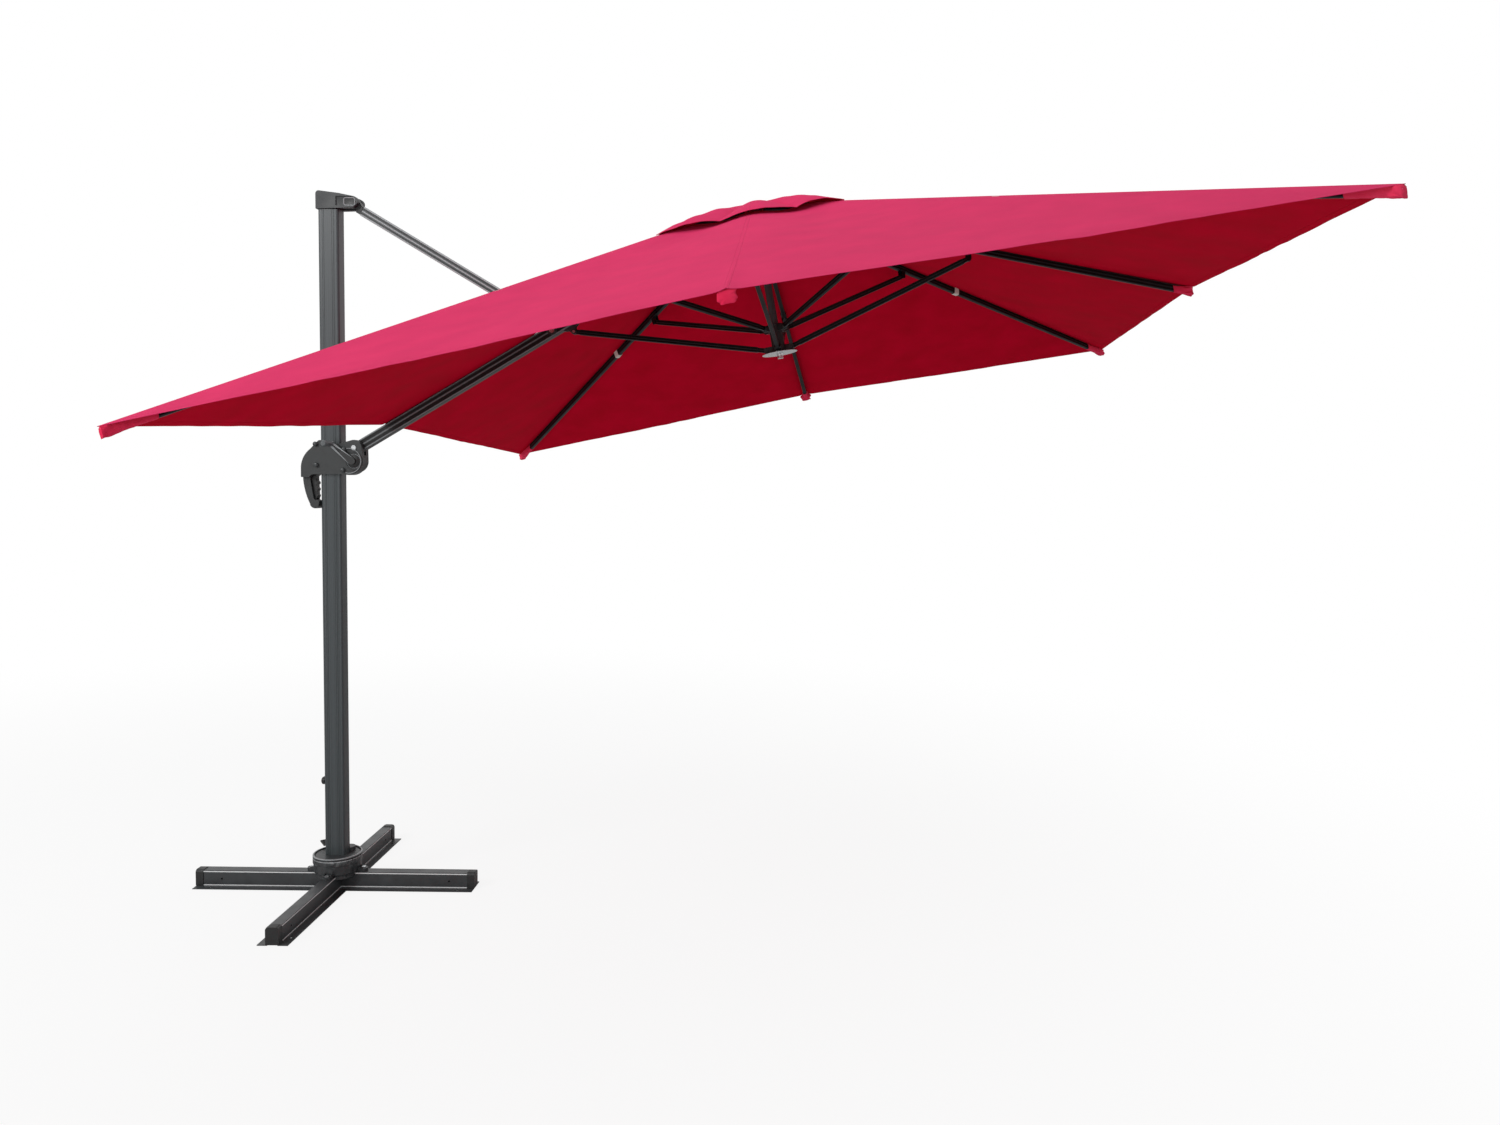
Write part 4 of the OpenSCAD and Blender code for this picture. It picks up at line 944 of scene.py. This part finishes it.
def gore(name, rib, side, mirror_y, shares, reach, height, steps, pull=None, slit=False):
    """Half a gore: a grid over the reach out from the axis and the shares between two ribs."""
    mesh = bpy.data.meshes.new(name)
    bm = bmesh.new()
    uv = bm.loops.layers.uv.new("cloth")
    bmesh.ops.create_grid(bm, x_segments=steps[0], y_segments=steps[1], size=1)
    flat = {}
    flip = -1 if mirror_y else 1
    place = turned(side)
    for v in bm.verts:
        x = reach[0] + (reach[1] - reach[0]) * (v.co.x + 1) / 2
        s = shares[0] + (shares[1] - shares[0]) * (v.co.y + 1) / 2
        out = pull(x, s) if pull else x
        y = s * out
        if slit:
            y = max(y, slit_edge(out) * (1 - s / shares[1]) + y)
        z = height(side, out, flip * min(1.0, y / out))
        flat[v] = (x, flip * s * x)
        v.co = place @ Vector((out, flip * y, z))
    for face in bm.faces:
        for loop in face.loops:
            loop[uv].uv = flat[loop.vert]
    bmesh.ops.recalc_face_normals(bm, faces=bm.faces)
    if sum(f.normal.dot(canopy_z) for f in bm.faces) < 0:
        bmesh.ops.reverse_faces(bm, faces=bm.faces)
    for face in bm.faces:
        face.smooth = True
    for edge in bm.edges:
        edge.smooth = not edge.is_boundary
    bm.to_mesh(mesh)
    bm.free()
    obj = bpy.data.objects.new(name, mesh)
    bpy.context.collection.objects.link(obj)
    # outer faces take the painted-light top tone, inner faces the painted-shade underside tone
    mesh.materials.append(cover_lit_top)
    mesh.materials.append(cover_shaded_under)
    wall = obj.modifiers.new("cloth", "SOLIDIFY")
    wall.thickness = THICK
    wall.offset = 0
    wall.material_offset = 1
    wall.material_offset_rim = 0
    return obj


def gather(obj, rib):
    """The cloth of a rib moves with that rib as the canopy closes."""
    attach(obj, rib_body(rib))
    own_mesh(obj)


def sew_canopy():
    """Sixteen half gores and sixteen half flaps of the vent cover, which meet at seams and ribs."""
    for side in SIDE_TURNS:
        for flip in (False, True):
            way = -1 if flip else 1
            corner = (side + way * 45) % 360
            for rib, shares, word in (
                (side, (0.0, 0.5), "side"),
                (corner, (0.5, 1.0), "corner"),
            ):
                tag = f"{side}_{'b' if flip else 'a'}_{word}"
                panel = gore(
                    f"canopy_{tag}",
                    rib,
                    side,
                    flip,
                    shares,
                    (VENT, HALF),
                    cloth_height,
                    (96, 44),
                    hem_pull,
                    slit=rib == 180,
                )
                gather(panel, rib)
                flap = gore(
                    f"vent_cover_{tag}",
                    rib,
                    side,
                    flip,
                    shares,
                    (COVER_EYE, COVER),
                    cover_height,
                    (24, 22),
                )
                gather(flap, rib)
                if not flip:
                    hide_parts(f"fabric_{rib}")


def under_cloth(rib, r, across):
    """Height of the cloth's middle at distance r out along a rib and a distance across it."""
    if rib in SIDE_TURNS:
        return cloth_height(rib, r, across / r)
    out = (r + abs(across)) / math.sqrt(2)
    share = (r - abs(across)) / (r + abs(across))
    side = (rib + (45 if across > 0 else -45)) % 360
    return cloth_height(side, out, share if across < 0 else -share)


def rib_end(rib):
    """Reach and slope of a rib, and its outer end's middle height, half width and half depth."""
    back = turned(rib).inverted()
    points = [back @ v.co for v in frame["nodes"][f"rib_{rib}"].data.vertices]
    reach = max(p.x for p in points)
    last = [p for p in points if p.x > reach - 15 * MM]
    low, high = min(p.z for p in last), max(p.z for p in last)
    middle = (low + high) / 2
    pin = back @ Vector(joints[f"hub_to_rib_{rib}"]["pos_m"])
    rise = (middle - pin.z) / (reach - pin.x)
    return reach, rise, middle, max(abs(p.y) for p in last), (high - low) / 2


def boxed(value):
    """A sine or cosine pushed out towards a rounded square."""
    return math.copysign(abs(value) ** 0.55, value)


def sew_pockets():
    """Each rib's end sits in a sleeve under the hem, crumpled where the rib pushes into it."""
    for rib in CORNER_TURNS + (0, 90, 270):
        corner = rib in CORNER_TURNS
        hem = HALF * (math.sqrt(2) if corner else 1)
        length, flare = (0.125, 4 * MM) if corner else (0.066, 13 * MM)
        reach, rise, middle, half_w, half_d = rib_end(rib)
        stop = max(reach + 3.5 * MM, hem - 1 * MM)
        bm = bmesh.new()
        uv = bm.loops.layers.uv.new("cloth")
        bmesh.ops.create_grid(bm, x_segments=36, y_segments=40, size=1)
        flat = {}
        place = turned(rib)
        for v in bm.verts:
            share = (v.co.x + 1) / 2
            turn = math.pi * v.co.y
            from_end = length * (1 - share)
            closing = math.sqrt(max(0.0, 1 - max(0.0, 1 - from_end / (5 * MM)) ** 2))
            r = stop - from_end
            fold = noise.noise(
                Vector((r * 70, 2.2 * math.sin(turn), 2.2 * math.cos(turn) + rib))
            )
            loose = 1.6 * MM + (3.2 * MM * share**2 + 0.8 * MM) * (1 + fold)
            wide = half_w + loose + flare * share**3 * (1 + fold)
            deep = half_d + loose + 0.35 * flare * share**3 * (1 - math.cos(turn)) / 2
            across = wide * boxed(math.sin(turn)) * closing
            high = middle + rise * (r - reach) + deep * boxed(math.cos(turn)) * closing
            inside = min(r, hem - 1 * MM)
            high = min(high, under_cloth(rib, inside, across) - 1.2 * MM)
            flat[v] = (0.2 + length * share, 0.04 * v.co.y)
            v.co = place @ Vector((r, across, high))
        for face in bm.faces:
            for loop in face.loops:
                loop[uv].uv = flat[loop.vert]
        bmesh.ops.remove_doubles(bm, verts=bm.verts, dist=0.05 * MM)
        bmesh.ops.recalc_face_normals(bm, faces=bm.faces)
        obj = keep_mesh(f"rib_pocket_{rib}", bm, pocket_cloth, 60)
        wall = obj.modifiers.new("cloth", "SOLIDIFY")
        wall.thickness = 0.9 * MM
        wall.offset = -1
        gather(obj, rib)


CLIP_AT = 1.06


def clip_bands():
    """A white clip round each corner rib holds the cloth to it, about halfway out."""
    for rib in CORNER_TURNS:
        r = CLIP_AT
        rise = (under_cloth(rib, r + 0.1, 0.0) - under_cloth(rib, r - 0.1, 0.0)) / 0.2
        along = Vector((1, 0, rise)).normalized()
        down = Vector((0, 1, 0)).cross(along)
        bm = bmesh.new()
        bmesh.ops.create_cube(bm, size=1)
        bmesh.ops.scale(bm, vec=(26 * MM, 19 * MM, 27.5 * MM), verts=bm.verts)
        upper = [f for f in bm.faces if f.normal.z > 0.5 or abs(f.normal.x) > 0.5]
        bmesh.ops.delete(bm, geom=upper, context="FACES")
        round_along(bm, 0, 4 * MM, 4)
        bmesh.ops.recalc_face_normals(bm, faces=bm.faces)
        bmesh.ops.solidify(bm, geom=bm.faces, thickness=-1.4 * MM)
        spin = Matrix((along, (0, 1, 0), -down)).transposed().to_4x4()
        seat = Vector((r, 0, under_cloth(rib, r, 0.0))) + down * 14.6 * MM
        bmesh.ops.transform(
            bm, matrix=turned(rib) @ Matrix.Translation(seat) @ spin, verts=bm.verts
        )
        obj = keep_mesh(f"clip_band_{rib}", bm, pale_plastic)
        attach(obj, f"rib_{rib}")


place_camera()
light_the_studio()
pale_floor()
dress_cad_nodes()
ease_hard_nodes()
paint_crank()
cap_bolts()
cap_window()
boss_bezel()
sew_canopy()
sew_pockets()
clip_bands()

bpy.context.scene.view_settings.view_transform = "Standard"
